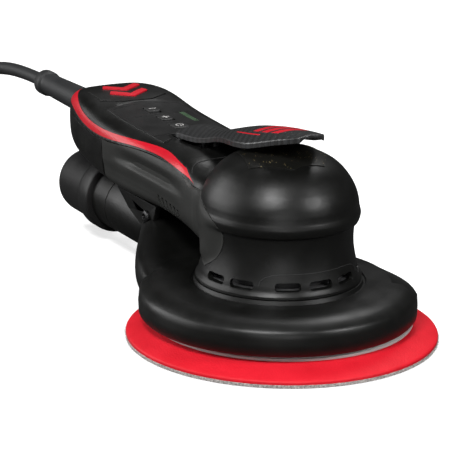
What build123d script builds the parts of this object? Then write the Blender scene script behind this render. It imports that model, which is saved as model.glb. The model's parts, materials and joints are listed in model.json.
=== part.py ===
"""Corded dual action (random orbital) finishing machine with a 150 mm hook-face pad.

Frame: millimetres, origin at the working face of the pad on the motor axis, +X to the front
of the head, handle and cord towards -X, +Z up, Y = 0 the plane of symmetry of the housing.
The eccentric points to +Y at rest, so the pad's own axis stands ORBIT / 2 from the motor axis.
"""
import os
from math import cos, pi, radians, sin, tan

from build123d import *

# ---------------------------------------------------------------- driving dimensions
PAD_D = 150.0            # working face, a standard size
ORBIT = 5.0              # diameter of the orbit
HOOK_T = 1.5             # hook-face layer
FOAM_TOP = 8.5           # top of the foam
FOAM_TOP_R = 62.4        # the foam's flank leans in to this radius
PLATE_T = 1.8            # moulded pad plate
SHROUD_R = 66.8          # outside wall of the dust shroud
SHROUD_LOW = 11.3        # lower rim of the shroud
SHROUD_TOP = 28.7        # flat top of the shroud
HEAD_LOW = 30.6          # lower face of the motor housing
HEAD_SPLIT = 58.4        # joint between motor housing and dome
HEAD_TOP = 94.0          # crown of the dome
WALL = 2.4               # moulded housing wall
FIT = 0.2                # gap between neighbouring mouldings
RUN = 0.05               # radial running clearance
TUBE_Z = 25.5            # dust tube axis
TUBE_R = 16.8            # dust tube outside radius
TUBE_BORE = 13.5         # dust tube bore radius
PORT_BORE = 14.0         # hose port bore radius
TUBE_END = -172.0        # rear face of the dust tube
PORT_END = -214.0        # rear face of the hose fitting
CORD_D = 7.5             # mains cord
CORD_LENGTH = 4000.0     # whole free length of the mains cord
REAR_X = -189.0          # rear face of the handle
CORD_Z = 68.5            # height of the cord outlet
RELIEF_END = -269.0      # free end of the strain relief
LEVER_PIVOT = (-84.0, 79.4)
LEVER_T = 2.4            # lever plate thickness
BRACKET_Y = 20.0         # middle of the bracket's side walls
BRACKET_SCREW = (-96.5, 37.0)
SCREW_HOLE_R = 1.7
HEAD_RECESS_R = 3.7      # round the heads of the bracket screws
LEVER_DROP = 0.019       # fall of the lever's curved section, per mm of width squared

ECC = ORBIT / 2.0
PAD_R = PAD_D / 2.0
PLATE_TOP = FOAM_TOP + PLATE_T
CORD_R = CORD_D / 2.0

# Handle stations: x, half width, lowest z, highest z, squareness, narrowing to the bottom
HANDLE = [
    (-189.0, 17.0, 60.0, 80.5, 3.6, 0.0),
    (-186.5, 22.0, 57.0, 84.0, 4.0, 0.0),
    (-180.0, 25.5, 54.0, 85.3, 4.6, 0.02),
    (-165.0, 29.0, 51.0, 85.0, 5.2, 0.03),
    (-145.0, 30.5, 47.5, 82.2, 5.0, 0.04),
    (-120.0, 31.0, 44.8, 80.2, 4.8, 0.05),
    (-95.0, 30.5, 44.6, 79.6, 4.5, 0.05),
    (-70.0, 30.5, 45.2, 79.8, 4.2, 0.04),
    (-42.0, 31.5, 43.0, 80.2, 3.8, 0.02),
    (-14.0, 34.0, 38.5, 80.2, 3.2, 0.0),
]

# Head outline, radius and height, from the base flange to the crown
WAIST = [(37.9, 36.0), (36.5, 41.2), (35.4, 48.5), (35.4, 54.0), (35.9, HEAD_SPLIT)]
LIP = [(35.9, HEAD_SPLIT), (37.4, 59.2), (38.5, 62.4), (37.6, 65.4)]
DOME = [(37.6, 65.4), (37.3, 69.6), (34.8, 76.7), (30.9, 82.5), (24.6, 87.7), (14.0, 92.0), (0.0, HEAD_TOP)]

# Duct stations, from the shroud to the round tube
DUCT = [
    (-38.0, 51.5, 12.5, SHROUD_TOP - 1.2, 6.0),
    (-62.0, 45.0, 11.5, 31.0, 5.0),
    (-88.0, 31.0, 9.5, 37.5, 3.2),
    (-112.0, TUBE_R, TUBE_Z - TUBE_R, TUBE_Z + TUBE_R, 2.0),
]

# Lever stations: x, crown height, half width
LEVER = [
    (-84.0, 85.4, 12.5),
    (-62.0, 87.8, 12.7),
    (-40.0, 93.6, 13.0),
    (-20.0, 99.2, 17.0),
    (-3.0, 102.4, 18.3),
    (14.0, 104.6, 13.5),
    (28.0, 105.8, 7.0),
]


def rounded_outline(half, low, high, power, narrowing=0.0, count=28):
    """Points round a superellipse that is narrower at its bottom."""
    middle = (low + high) / 2.0
    rise = (high - low) / 2.0
    points = []
    for step in range(count):
        angle = 2.0 * pi * (step + 0.5) / count
        across = abs(cos(angle)) ** (2.0 / power) * (1 if cos(angle) > 0 else -1)
        up = abs(sin(angle)) ** (2.0 / power) * (1 if sin(angle) > 0 else -1)
        points.append((half * across * (1.0 - narrowing * (1.0 - up) / 2.0), middle + rise * up))
    return points


def cross_sections(stations, inset=0.0, end_inset=0.0):
    """Closed faces across X, each shrunk inwards by inset."""
    faces = []
    for number, (x, half, low, high, power, *narrowing) in enumerate(stations):
        at = x + end_inset if number == 0 else x
        outline = rounded_outline(half - inset, low + inset, high - inset, power, *narrowing)
        with BuildSketch(Plane.YZ.offset(at)) as face:
            with BuildLine():
                Spline(*outline, periodic=True)
            make_face()
        faces.append(face.sketch)
    return faces


def handle_solid(inset, end_inset=0.0):
    """The handle's outer form, shrunk inwards by inset."""
    with BuildPart() as solid:
        loft(sections=cross_sections(HANDLE, inset, end_inset))
    return solid.part


def side_prism(points, reach=70.0):
    """A prism across Y from a side-view outline."""
    with BuildPart() as prism:
        with BuildSketch(Plane.XZ):
            with BuildLine():
                Polyline(*points, close=True)
            make_face()
        extrude(amount=reach, both=True)
    return prism.part


def side_band(lower, upper, reach=70.0):
    """A prism across Y between two smooth side-view curves."""
    with BuildPart() as band:
        with BuildSketch(Plane.XZ):
            with BuildLine():
                Spline(*lower)
                Line(lower[-1], upper[0])
                Spline(*upper)
                Line(upper[-1], lower[0])
            make_face()
        extrude(amount=reach, both=True)
    return band.part


def top_prism(points, low=60.0, high=130.0):
    """A prism along Z from a plan-view outline."""
    with BuildPart() as prism:
        with BuildSketch(Plane.XY.offset(low)):
            with BuildLine():
                Polyline(*points, close=True)
            make_face()
        extrude(amount=high - low)
    return prism.part


def head_solid(grow, low=HEAD_LOW):
    """The whole head from base flange to crown, grown outwards by grow."""
    with BuildPart() as solid:
        with BuildSketch(Plane.XZ):
            with BuildLine():
                Polyline((0, low), (39.7 + grow, low), (39.7 + grow, HEAD_LOW + 1.2),
                         (38.5 + grow, HEAD_LOW + 2.6))
                Line((38.5 + grow, HEAD_LOW + 2.6), (WAIST[0][0] + grow, WAIST[0][1]))
                Spline(*[(r + grow, z) for r, z in WAIST])
                Spline(*[(r + grow, z) for r, z in LIP])
                Spline(*[(r + grow * r / 37.6, z + grow * (1.0 - r / 37.6)) for r, z in DOME])
                Line((0, HEAD_TOP + grow), (0, low))
            make_face()
        revolve(axis=Axis.Z)
    return solid.part


def finish(part, name):
    """Label a piece and write it to its own file."""
    part.label = name
    export_step(part, f"parts/{name}.step")
    if len(part.solids()) != 1:
        print(name, "has", len(part.solids()), "solids")


def bend_radii(points):
    """Arc radius at each inner point: 0.45 of the shorter run over the tangent of half the turn."""
    radii = []
    for before, here, after in zip(points, points[1:], points[2:]):
        run_in = Vector(*here) - Vector(*before)
        run_out = Vector(*after) - Vector(*here)
        half_turn = radians(run_in.get_angle(run_out)) / 2.0
        radii.append(0.45 * min(run_in.length, run_out.length) / tan(half_turn))
    return radii


def cord_tube(points, name):
    """A round tube along straight runs joined by tangent arcs."""
    radii = bend_radii(points)
    start = Plane(origin=points[0], z_dir=Vector(*points[1]) - Vector(*points[0]))
    with BuildPart() as tube:
        with BuildLine() as route:
            FilletPolyline(*points, radius=radii)
        with BuildSketch(start):
            Circle(CORD_R)
        sweep(path=route.wires()[0])
    length = route.wires()[0].length
    print(name, "radii", [round(r) for r in radii], "length", round(length, 1),
          "volume ratio", round(tube.part.volume / (pi * CORD_R ** 2 * length), 4))
    return tube.part, length


os.makedirs("parts", exist_ok=True)

# ---------------------------------------------------------------- pad, on its own axis
PAD_AXIS = Plane.XY.shift_origin((0, ECC, 0))
DUST_HOLES = [(40.0, 6, 4.5), (61.0, 8, 4.0)]      # pitch radius, count, hole radius


def pad_layer(low_r, high_r, low, high):
    """One round layer of the pad with the dust holes through it."""
    with BuildPart() as layer:
        with BuildSketch(PAD_AXIS.offset(low)):
            Circle(low_r)
        with BuildSketch(PAD_AXIS.offset(high)):
            Circle(high_r)
        loft()
        for pitch_r, count, hole_r in DUST_HOLES:
            if pitch_r + hole_r < high_r:
                with Locations(PAD_AXIS.offset(high)):
                    with PolarLocations(pitch_r, count, start_angle=15):
                        Hole(hole_r)
    return layer.part


with BuildPart() as pad_hook_face:
    add(pad_layer(PAD_R, PAD_R, 0.0, HOOK_T))
finish(pad_hook_face.part, "pad_hook_face")

with BuildPart() as pad_foam:
    add(pad_layer(PAD_R - 0.2, FOAM_TOP_R, HOOK_T, FOAM_TOP))
finish(pad_foam.part, "pad_foam")

with BuildPart() as pad_plate:
    with BuildSketch(PAD_AXIS.offset(FOAM_TOP)):
        Circle(FOAM_TOP_R - 0.2)
        with PolarLocations(40.0, 6, start_angle=15):
            Circle(4.5, mode=Mode.SUBTRACT)
    extrude(amount=PLATE_T)
    with BuildSketch(PAD_AXIS.offset(FOAM_TOP)):
        Circle(FOAM_TOP_R + 0.5)
        Circle(FOAM_TOP_R - 3.0, mode=Mode.SUBTRACT)
    extrude(amount=PLATE_T - 0.4)
    with BuildSketch(PAD_AXIS.offset(FOAM_TOP)):
        Circle(3.97)
    extrude(amount=PLATE_T, mode=Mode.SUBTRACT)
finish(pad_plate.part, "pad_plate")

SPINDLE_LOW = PLATE_TOP
BEARING_LOW = 13.0
BEARING_T = 12.0
with BuildPart() as pad_stud:
    with BuildSketch(PAD_AXIS.offset(FOAM_TOP)):
        Circle(3.97)
    extrude(amount=13.0)
    chamfer(pad_stud.faces().sort_by(Axis.Z)[-1].edges(), 0.6)
finish(pad_stud.part, "pad_stud")

with BuildPart() as pad_spindle:
    with BuildSketch(PAD_AXIS.offset(SPINDLE_LOW)):
        RegularPolygon(9.0, 6)
    extrude(amount=BEARING_LOW - 0.2 - SPINDLE_LOW)
    with BuildSketch(PAD_AXIS.offset(BEARING_LOW - 0.2)):
        Circle(6.0 - RUN)
    extrude(amount=BEARING_T + 0.3)
    with Locations(PAD_AXIS.offset(SPINDLE_LOW)):
        with Locations((0, 0, 5.8)):
            Cylinder(3.97, 11.6, mode=Mode.SUBTRACT)
finish(pad_spindle.part, "pad_spindle")

with BuildPart() as spindle_nut:
    with BuildSketch(PAD_AXIS.offset(BEARING_LOW + BEARING_T + 0.1)):
        Circle(8.0)
    extrude(amount=1.8)
finish(spindle_nut.part, "spindle_nut")

# ---------------------------------------------------------------- rotor group, on the motor axis
HUB_TOP = 34.5
CAVITY_TOP = 27.3
SHAFT_LOW = 27.8
LOWER_BEARING = (35.0, 43.0)
UPPER_BEARING = (76.0, 83.0)
ROTOR = (55.0, 71.0)

with BuildPart() as eccentric:
    with BuildSketch(PAD_AXIS.offset(BEARING_LOW)):
        Circle(18.0)
    extrude(amount=30.3 - BEARING_LOW)
    with BuildSketch(Plane.XY.offset(30.3)):
        Circle(10.0)
    extrude(amount=HUB_TOP - 30.3)
    with BuildSketch(Plane.XY.offset(BEARING_LOW)):
        with BuildLine():
            CenterArc((0, 0), 30.0, 200.0, 140.0)
            Polyline((30.0 * cos(radians(200)), 30.0 * sin(radians(200))), (-12.0, 0.0), (12.0, 0.0),
                     (30.0 * cos(radians(340)), 30.0 * sin(radians(340))))
        make_face()
    extrude(amount=6.5)
    with BuildSketch(PAD_AXIS.offset(BEARING_LOW)):
        Circle(14.0)
    extrude(amount=BEARING_T, mode=Mode.SUBTRACT)
    with BuildSketch(PAD_AXIS.offset(BEARING_LOW + BEARING_T)):
        Circle(10.5)
    extrude(amount=CAVITY_TOP - BEARING_LOW - BEARING_T, mode=Mode.SUBTRACT)
    with BuildSketch(Plane.XY.offset(SHAFT_LOW)):
        Circle(6.0)
    extrude(amount=HUB_TOP - SHAFT_LOW, mode=Mode.SUBTRACT)
finish(eccentric.part, "eccentric")

with BuildPart() as spindle_bearing:
    with BuildSketch(PAD_AXIS.offset(BEARING_LOW)):
        Circle(14.0)
        Circle(6.0, mode=Mode.SUBTRACT)
    extrude(amount=BEARING_T)
finish(spindle_bearing.part, "spindle_bearing")

with BuildPart() as motor_shaft:
    with BuildSketch(Plane.XY.offset(SHAFT_LOW)):
        Circle(6.0)
    extrude(amount=HUB_TOP - SHAFT_LOW)
    with BuildSketch(Plane.XY.offset(HUB_TOP)):
        Circle(6.0 - RUN)
    extrude(amount=44.0 - HUB_TOP)
    with BuildSketch(Plane.XY.offset(44.0)):
        Circle(6.0)
    extrude(amount=29.0)
    with BuildSketch(Plane.XY.offset(73.0)):
        Circle(4.0 - RUN)
    extrude(amount=11.0)
finish(motor_shaft.part, "motor_shaft")

FAN_LOW = 45.0
with BuildPart() as cooling_fan:
    with BuildSketch(Plane.XY.offset(FAN_LOW)):
        Circle(29.0)
    extrude(amount=1.5)
    with BuildSketch(Plane.XY.offset(FAN_LOW)):
        Circle(9.5)
    extrude(amount=7.0)
    with BuildSketch(Plane.XY.offset(FAN_LOW + 1.0)):
        with PolarLocations(18.5, 11):
            Rectangle(20.0, 1.3, rotation=24)
    extrude(amount=5.8)
    with BuildSketch(Plane.XY.offset(FAN_LOW)):
        Circle(29.2)
    extrude(amount=7.0, mode=Mode.INTERSECT)
    with BuildSketch(Plane.XY.offset(FAN_LOW)):
        Circle(6.0)
    extrude(amount=7.0, mode=Mode.SUBTRACT)
finish(cooling_fan.part, "cooling_fan")

with BuildPart() as rotor_core:
    with BuildSketch(Plane.XY.offset(ROTOR[0])):
        Circle(17.0)
        Circle(6.0, mode=Mode.SUBTRACT)
        with PolarLocations(11.5, 6):
            Circle(2.2, mode=Mode.SUBTRACT)
    extrude(amount=ROTOR[1] - ROTOR[0])
finish(rotor_core.part, "rotor_core")

with BuildPart() as rotor_magnet:
    with BuildSketch(Plane.XY.offset(ROTOR[0])):
        Circle(19.4)
        Circle(17.0, mode=Mode.SUBTRACT)
    extrude(amount=ROTOR[1] - ROTOR[0])
finish(rotor_magnet.part, "rotor_magnet")

# ---------------------------------------------------------------- stationary motor parts
STATOR_BORE = 20.3
STATOR_R = 30.5
TOOTH = (8.0, 6)


def bearing_ring(bore_r, outer_r, low, high):
    """A bearing as one ring."""
    with BuildPart() as ring:
        with BuildSketch(Plane.XY.offset(low)):
            Circle(outer_r)
            Circle(bore_r, mode=Mode.SUBTRACT)
        extrude(amount=high - low)
    return ring.part


with BuildPart() as stator_core:
    with BuildSketch(Plane.XY.offset(ROTOR[0])):
        Circle(STATOR_R)
        Circle(25.0, mode=Mode.SUBTRACT)
        with PolarLocations(23.5, TOOTH[1]):
            Rectangle(9.0, TOOTH[0])
        Circle(STATOR_BORE, mode=Mode.SUBTRACT)
    extrude(amount=ROTOR[1] - ROTOR[0])
finish(stator_core.part, "stator_core")

with BuildPart() as stator_windings:
    with BuildSketch(Plane.XY.offset(ROTOR[0] - 2.4)):
        Circle(25.0)
        Circle(STATOR_BORE + 0.5, mode=Mode.SUBTRACT)
    extrude(amount=ROTOR[1] - ROTOR[0] + 4.8)
    for height in (ROTOR[0] - 2.4, ROTOR[1]):
        with BuildSketch(Plane.XY.offset(height)):
            Circle(28.5)
            Circle(STATOR_BORE + 0.5, mode=Mode.SUBTRACT)
        extrude(amount=2.4)
    with BuildSketch(Plane.XY.offset(ROTOR[0])):
        with PolarLocations(23.5, TOOTH[1]):
            Rectangle(9.0, TOOTH[0])
    extrude(amount=ROTOR[1] - ROTOR[0], mode=Mode.SUBTRACT)
finish(stator_windings.part, "stator_windings")

finish(bearing_ring(6.0, 14.0, *LOWER_BEARING), "lower_bearing")
finish(bearing_ring(4.0, 11.0, *UPPER_BEARING), "upper_bearing")

SCREW_CIRCLE = 27.0
PLATE_LOW = 31.0
PLATE_HIGH = 34.0
with BuildPart() as bearing_plate:
    with BuildSketch(Plane.XY.offset(PLATE_LOW)):
        Circle(35.2)
        Circle(11.0, mode=Mode.SUBTRACT)
        with PolarLocations(SCREW_CIRCLE, 4, start_angle=45):
            Circle(2.1, mode=Mode.SUBTRACT)
    extrude(amount=PLATE_HIGH - PLATE_LOW)
    with BuildSketch(Plane.XY.offset(PLATE_HIGH)):
        Circle(17.5)
        Circle(11.0, mode=Mode.SUBTRACT)
    extrude(amount=LOWER_BEARING[1] + 0.5 - PLATE_HIGH)
    with BuildSketch(Plane.XY.offset(LOWER_BEARING[0])):
        Circle(14.0)
    extrude(amount=10.0, mode=Mode.SUBTRACT)
finish(bearing_plate.part, "bearing_plate")

with BuildPart() as motor_can:
    with BuildSketch(Plane.XY.offset(PLATE_HIGH)):
        Circle(STATOR_R + 1.5)
        Circle(STATOR_R, mode=Mode.SUBTRACT)
    extrude(amount=75.8 - PLATE_HIGH)
    with BuildSketch(Plane.XY.offset(73.8)):
        Circle(STATOR_R + 1.5)
        Circle(7.0, mode=Mode.SUBTRACT)
    extrude(amount=2.0)
    with BuildSketch(Plane.XY.offset(75.8)):
        Circle(13.5)
        Circle(11.0, mode=Mode.SUBTRACT)
    extrude(amount=UPPER_BEARING[1] - 75.8)
    with Locations((0, 0, 40.5)):
        with PolarLocations(STATOR_R, 6):
            Box(8.0, 18.0, 8.0, mode=Mode.SUBTRACT)
finish(motor_can.part, "motor_can")

# ---------------------------------------------------------------- head mouldings
VENT_ANGLES = [2, 27, -23, 59, -57, 84, -81]
head_space = head_solid(FIT, HEAD_LOW - 3.0)

with BuildPart() as motor_housing:
    with BuildSketch(Plane.XZ):
        with BuildLine():
            Polyline((39.7, HEAD_LOW), (39.7, HEAD_LOW + 1.2), (38.5, HEAD_LOW + 2.6), WAIST[0])
            Spline(*WAIST)
            Line(WAIST[-1], (WAIST[-1][0] - 3.1, HEAD_SPLIT))
            Spline(*[(r - WALL - 0.3, z) for r, z in reversed(WAIST)])
            Polyline((WAIST[0][0] - WALL - 0.3, WAIST[0][1]), (35.4, PLATE_LOW), (35.4, HEAD_LOW),
                     (39.7, HEAD_LOW))
        make_face()
    revolve(axis=Axis.Z)
    for angle in VENT_ANGLES:
        outwards = Plane(origin=(0, 0, 36.0), x_dir=(-sin(radians(angle)), cos(radians(angle)), 0),
                         z_dir=(cos(radians(angle)), sin(radians(angle)), 0))
        with BuildSketch(outwards):
            RectangleRounded(12.2, 4.0, 1.6)
        extrude(amount=60.0, mode=Mode.SUBTRACT)
finish(motor_housing.part, "motor_housing")

with BuildPart() as dome_cover:
    with BuildSketch(Plane.XZ):
        with BuildLine():
            Spline(*LIP)
            Spline(*DOME)
            Line((0, HEAD_TOP), (0, HEAD_TOP - WALL))
            inner = [(r * (1.0 - WALL / 37.6), z - WALL * (1.0 - r / 37.6)) for r, z in reversed(DOME)]
            Spline(*inner)
            Polyline(inner[-1], (32.8, HEAD_SPLIT), LIP[0])
        make_face()
    revolve(axis=Axis.Z)
finish(dome_cover.part, "dome_cover")

PATCH = [(-12, -17), (10, -22.5), (22, -8), (23, -5.5), (21.5, 0), (22, 11), (12, 18), (-12, 17)]
with BuildPart() as dome_patch:
    add(head_solid(0.5))
    add(head_solid(0.0), mode=Mode.SUBTRACT)
    add(top_prism(PATCH, 78.0), mode=Mode.INTERSECT)
finish(dome_patch.part, "dome_patch")

# ---------------------------------------------------------------- dust shroud, duct and tube
CEILING = 23.5                   # inside ceiling of the shroud
OPENING_R = 22.0                 # hole in the ceiling for the eccentric
STEP_ANGLE = radians(58.0)       # the raised volute ends here with a crease

with BuildPart() as shroud:
    with BuildSketch(Plane.XZ):
        with BuildLine():
            Polyline((63.6, SHROUD_LOW), (65.4, SHROUD_LOW + 0.5), (SHROUD_R - 0.2, SHROUD_LOW + 2.0),
                     (SHROUD_R, 18.0), (SHROUD_R - 0.4, 23.0), (SHROUD_R - 1.6, 24.6), (60.0, 27.8),
                     (42.0, SHROUD_TOP), (41.6, 28.0), (40.6, 28.0), (40.2, SHROUD_TOP + 1.5),
                     (OPENING_R, SHROUD_TOP + 1.5), (OPENING_R, CEILING), (57.0, CEILING), (63.0, 19.5),
                     (63.6, SHROUD_LOW))
        make_face()
    revolve(axis=Axis.Z)
    loft(sections=cross_sections(DUCT))
    loft(sections=cross_sections(DUCT, WALL), mode=Mode.SUBTRACT)
    with BuildSketch(Plane.XY.offset(SHROUD_LOW - 3.0)):
        Circle(63.0)
    extrude(amount=19.5 - SHROUD_LOW + 3.0, mode=Mode.SUBTRACT)
    with BuildSketch(Plane.XY.offset(19.0)):
        Circle(57.0)
    extrude(amount=CEILING - 19.0, mode=Mode.SUBTRACT)
    with BuildSketch(Plane(origin=(0, 0, 0), x_dir=(cos(STEP_ANGLE), sin(STEP_ANGLE), 0),
                           z_dir=(sin(STEP_ANGLE), -cos(STEP_ANGLE), 0))):
        with BuildLine():
            Polyline((SHROUD_R + 1.0, 20.4), (54.0, 27.8), (54.0, 31.0), (SHROUD_R + 1.0, 31.0), close=True)
        make_face()
    revolve(axis=Axis.Z, revolution_arc=98.0, mode=Mode.SUBTRACT)
    with Locations((0, 0, 27.0)):
        with PolarLocations(SCREW_CIRCLE, 4, start_angle=45):
            Cylinder(2.1, 12.0, mode=Mode.SUBTRACT)
with BuildPart() as drilled_shroud:
    add(shroud.part)
    with Locations(*[(BRACKET_SCREW[0], side * BRACKET_Y, BRACKET_SCREW[1]) for side in (-1, 1)]):
        Cylinder(SCREW_HOLE_R, 8.0, rotation=(90, 0, 0), mode=Mode.SUBTRACT)
    with Locations(*[(BRACKET_SCREW[0], side * (BRACKET_Y + 5.2), BRACKET_SCREW[1]) for side in (-1, 1)]):
        Cylinder(HEAD_RECESS_R, 8.0, rotation=(90, 0, 0), mode=Mode.SUBTRACT)
finish(drilled_shroud.part, "shroud")

with BuildPart() as brake_seal:
    with BuildSketch(Plane.XY.offset(PLATE_TOP + 0.3)):
        Circle(50.0)
        Circle(46.0, mode=Mode.SUBTRACT)
    extrude(amount=CEILING - PLATE_TOP - 0.3)
finish(brake_seal.part, "brake_seal")

SPIGOT_R = 15.6
DUCT_END = -112.0
TUBE_SEAM = -156.0
with BuildPart() as dust_tube:
    with BuildSketch(Plane.YZ.offset(TUBE_END)):
        with Locations((0, TUBE_Z)):
            Circle(TUBE_R)
            Circle(TUBE_BORE, mode=Mode.SUBTRACT)
    extrude(amount=DUCT_END - TUBE_END)
    with BuildSketch(Plane.YZ.offset(TUBE_SEAM)):
        with Locations((0, TUBE_Z)):
            Circle(TUBE_R)
            Circle(TUBE_R - 0.5, mode=Mode.SUBTRACT)
    extrude(amount=0.6, mode=Mode.SUBTRACT)
    with BuildSketch(Plane.YZ.offset(TUBE_END - 14.0)):
        with Locations((0, TUBE_Z)):
            Circle(SPIGOT_R)
            Circle(TUBE_BORE, mode=Mode.SUBTRACT)
    extrude(amount=14.0)
finish(dust_tube.part, "dust_tube")

with BuildPart() as hose_fitting:
    with BuildSketch(Plane.XZ):
        with BuildLine():
            Polyline((TUBE_END - 0.3, TUBE_Z + SPIGOT_R + RUN), (TUBE_END - 0.3, TUBE_Z + 19.2),
                     (TUBE_END - 1.2, TUBE_Z + 20.0), (TUBE_END - 11.0, TUBE_Z + 20.0),
                     (TUBE_END - 12.5, TUBE_Z + 18.3), (PORT_END + 4.0, TUBE_Z + 18.0),
                     (PORT_END, TUBE_Z + 16.6), (PORT_END, TUBE_Z + PORT_BORE),
                     (TUBE_END - 14.3, TUBE_Z + PORT_BORE), (TUBE_END - 14.3, TUBE_Z + SPIGOT_R + RUN),
                     close=True)
        make_face()
    revolve(axis=Axis((0, 0, TUBE_Z), (1, 0, 0)))
finish(hose_fitting.part, "hose_fitting")

# ---------------------------------------------------------------- handle mouldings
handle_outer = handle_solid(0.0)
handle_cavity = handle_solid(WALL, WALL)
groove_floor = handle_solid(1.0, 1.0)
panel_floor = handle_solid(1.2, 1.2)
panel_top = handle_solid(-0.5)

UPPER_LINE = [(-24.0, 62.0), (-34.0, 69.5), (-46.0, 73.6), (-60.0, 74.6), (-79.0, 74.4), (-100.0, 73.2),
              (-122.0, 70.9), (-144.0, 70.4), (-160.0, 72.4), (-178.0, 74.0), (-200.0, 74.4)]
TRIM_LOW = [(-33.0, 70.0), (-38.5, 72.6), (-46.0, 74.4), (-60.0, 75.4), (-79.0, 75.2), (-100.0, 74.2),
            (-122.0, 72.2), (-144.0, 72.0), (-158.0, 74.2), (-170.0, 77.4), (-182.0, 79.2), (-200.0, 79.6)]
TRIM_HIGH = [(-200.0, 84.2), (-182.0, 84.0), (-170.0, 82.6), (-158.0, 79.0), (-142.0, 76.0), (-118.0, 75.8),
             (-92.0, 77.2), (-70.0, 78.0), (-52.0, 77.8), (-42.0, 76.0)]
REAR_SEAM = -131.0
upper_region = side_band(UPPER_LINE, [(-200.0, 100.0), (-110.0, 100.5), (-20.0, 100.0)])
trim_band = side_band(TRIM_LOW, TRIM_HIGH)
PANEL = [(-144, -21), (-149, 0), (-144, 21), (-81, 20.5), (-83, 15), (-91, 13), (-91, -13), (-83, -15),
         (-81, -20.5)]
EMBLEM = [(-180, -8), (-180, 8), (-171, 19), (-156, 19), (-151, 9), (-151, -9), (-156, -19), (-171, -19)]
panel_prism = top_prism(PANEL, 72.0)
emblem_prism = top_prism(EMBLEM, 72.0)
KEYS = {"power_button": (-103.0, 0.0, 9.0, 8.0, 80.8), "speed_up_button": (-119.0, 0.0, 9.0, 6.5, 81.4),
        "speed_down_button": (-134.0, 0.0, 9.0, 6.5, 82.5)}
KEY_LOW = 74.6
WINDOW = (-89.5, -57.0, 11.5)      # opening under the lever: rear x, front x, half width

with BuildPart() as red_trim:
    add(handle_outer)
    add(groove_floor, mode=Mode.SUBTRACT)
    add(trim_band, mode=Mode.INTERSECT)
    add(head_space, mode=Mode.SUBTRACT)
finish(red_trim.part, "red_trim")

with BuildPart() as trim_seat:
    add(groove_floor)
    add(handle_cavity, mode=Mode.SUBTRACT)
    add(trim_band, mode=Mode.INTERSECT)

with BuildPart() as handle_shell:
    add(handle_outer)
    add(handle_cavity, mode=Mode.SUBTRACT)
    add(upper_region, mode=Mode.INTERSECT)
    add(trim_band, mode=Mode.SUBTRACT)
    add(trim_seat.part)
    add(head_space, mode=Mode.SUBTRACT)
    add(panel_prism - panel_floor, mode=Mode.SUBTRACT)
    with Locations(((WINDOW[0] + WINDOW[1]) / 2.0, 0, 84.0)):
        Box(WINDOW[1] - WINDOW[0], 2.0 * WINDOW[2], 24.0, mode=Mode.SUBTRACT)
    for x, y, length, width, top in KEYS.values():
        with Locations((x, y, 82.0)):
            Box(length + 0.6, width + 0.6, 12.0, mode=Mode.SUBTRACT)
finish(handle_shell.part, "handle_shell")

with BuildPart() as control_panel:
    add(panel_top)
    add(panel_floor, mode=Mode.SUBTRACT)
    add(panel_prism, mode=Mode.INTERSECT)
    for x, y, length, width, top in KEYS.values():
        with Locations((x, y, 82.0)):
            Box(length + 0.6, width + 0.6, 12.0, mode=Mode.SUBTRACT)
    with Locations((-118.0, 13.0, 82.0)):
        Box(18.0, 3.0, 12.0, mode=Mode.SUBTRACT)
finish(control_panel.part, "control_panel")

with BuildPart() as indicator_lens:
    add(panel_top)
    add(panel_floor, mode=Mode.SUBTRACT)
    with Locations((-118.0, 13.0, 82.0)):
        Box(17.8, 2.8, 12.0, mode=Mode.INTERSECT)
finish(indicator_lens.part, "indicator_lens")

with BuildPart() as emblem_plate:
    add(panel_top)
    add(handle_outer, mode=Mode.SUBTRACT)
    add(emblem_prism, mode=Mode.INTERSECT)
finish(emblem_plate.part, "emblem_plate")

rear_region = side_prism([(REAR_SEAM - FIT, 20.0), (REAR_SEAM - FIT, 90.0), (-210.0, 90.0), (-210.0, 20.0)])
with BuildPart() as lower_block:
    with BuildSketch(Plane.XZ):
        with BuildLine():
            Spline(*[(x, z - FIT) for x, z in UPPER_LINE])
            Polyline((-200.0, 74.4 - FIT), (-200.0, 20.0), (14.0, 20.0), (14.0, 61.8), (-24.0, 62.0 - FIT))
        make_face()
    extrude(amount=70.0, both=True)
lower_region = lower_block.part
with BuildPart() as rear_cover:
    add(handle_outer)
    add(handle_cavity, mode=Mode.SUBTRACT)
    add(lower_region, mode=Mode.INTERSECT)
    add(rear_region, mode=Mode.INTERSECT)
    with BuildSketch(Plane.YZ.offset(REAR_X - 5.0)):
        with Locations((0, CORD_Z)):
            Circle(6.0)
    extrude(amount=15.0, mode=Mode.SUBTRACT)
finish(rear_cover.part, "rear_cover")

SADDLE_R = 38.4
SADDLE_LOW = 40.0
SADDLE_HALF_ANGLE = 103.0
SADDLE_FRONT = [(8.5, 60.0), (-4.5, 38.0), (45.0, 38.0), (45.0, 60.0)]
with BuildPart() as grip_shell:
    add(handle_outer)
    add(handle_cavity, mode=Mode.SUBTRACT)
    add(lower_region, mode=Mode.INTERSECT)
    add(side_prism([(REAR_SEAM, 20.0), (REAR_SEAM, 90.0), (14.0, 90.0), (14.0, 20.0)]), mode=Mode.INTERSECT)
    with BuildSketch(Plane.XZ.rotated((0, 0, 180.0 - SADDLE_HALF_ANGLE))):
        with BuildLine():
            Polyline((30.0, SADDLE_LOW), (SADDLE_R - 1.2, SADDLE_LOW), (SADDLE_R, SADDLE_LOW + 3.0),
                     (SADDLE_R, HEAD_SPLIT - 1.0), (30.0, HEAD_SPLIT - 1.0), close=True)
        make_face()
    revolve(axis=Axis.Z, revolution_arc=2.0 * SADDLE_HALF_ANGLE)
    add(side_prism(SADDLE_FRONT), mode=Mode.SUBTRACT)
    add(head_space, mode=Mode.SUBTRACT)
    with Locations(*[(x, 0, 51.0) for x in (-69.0, -64.4, -59.8, -55.2, -50.6, -46.0)]):
        Box(2.2, 90.0, 7.0, mode=Mode.SUBTRACT)
finish(grip_shell.part, "grip_shell")

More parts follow.
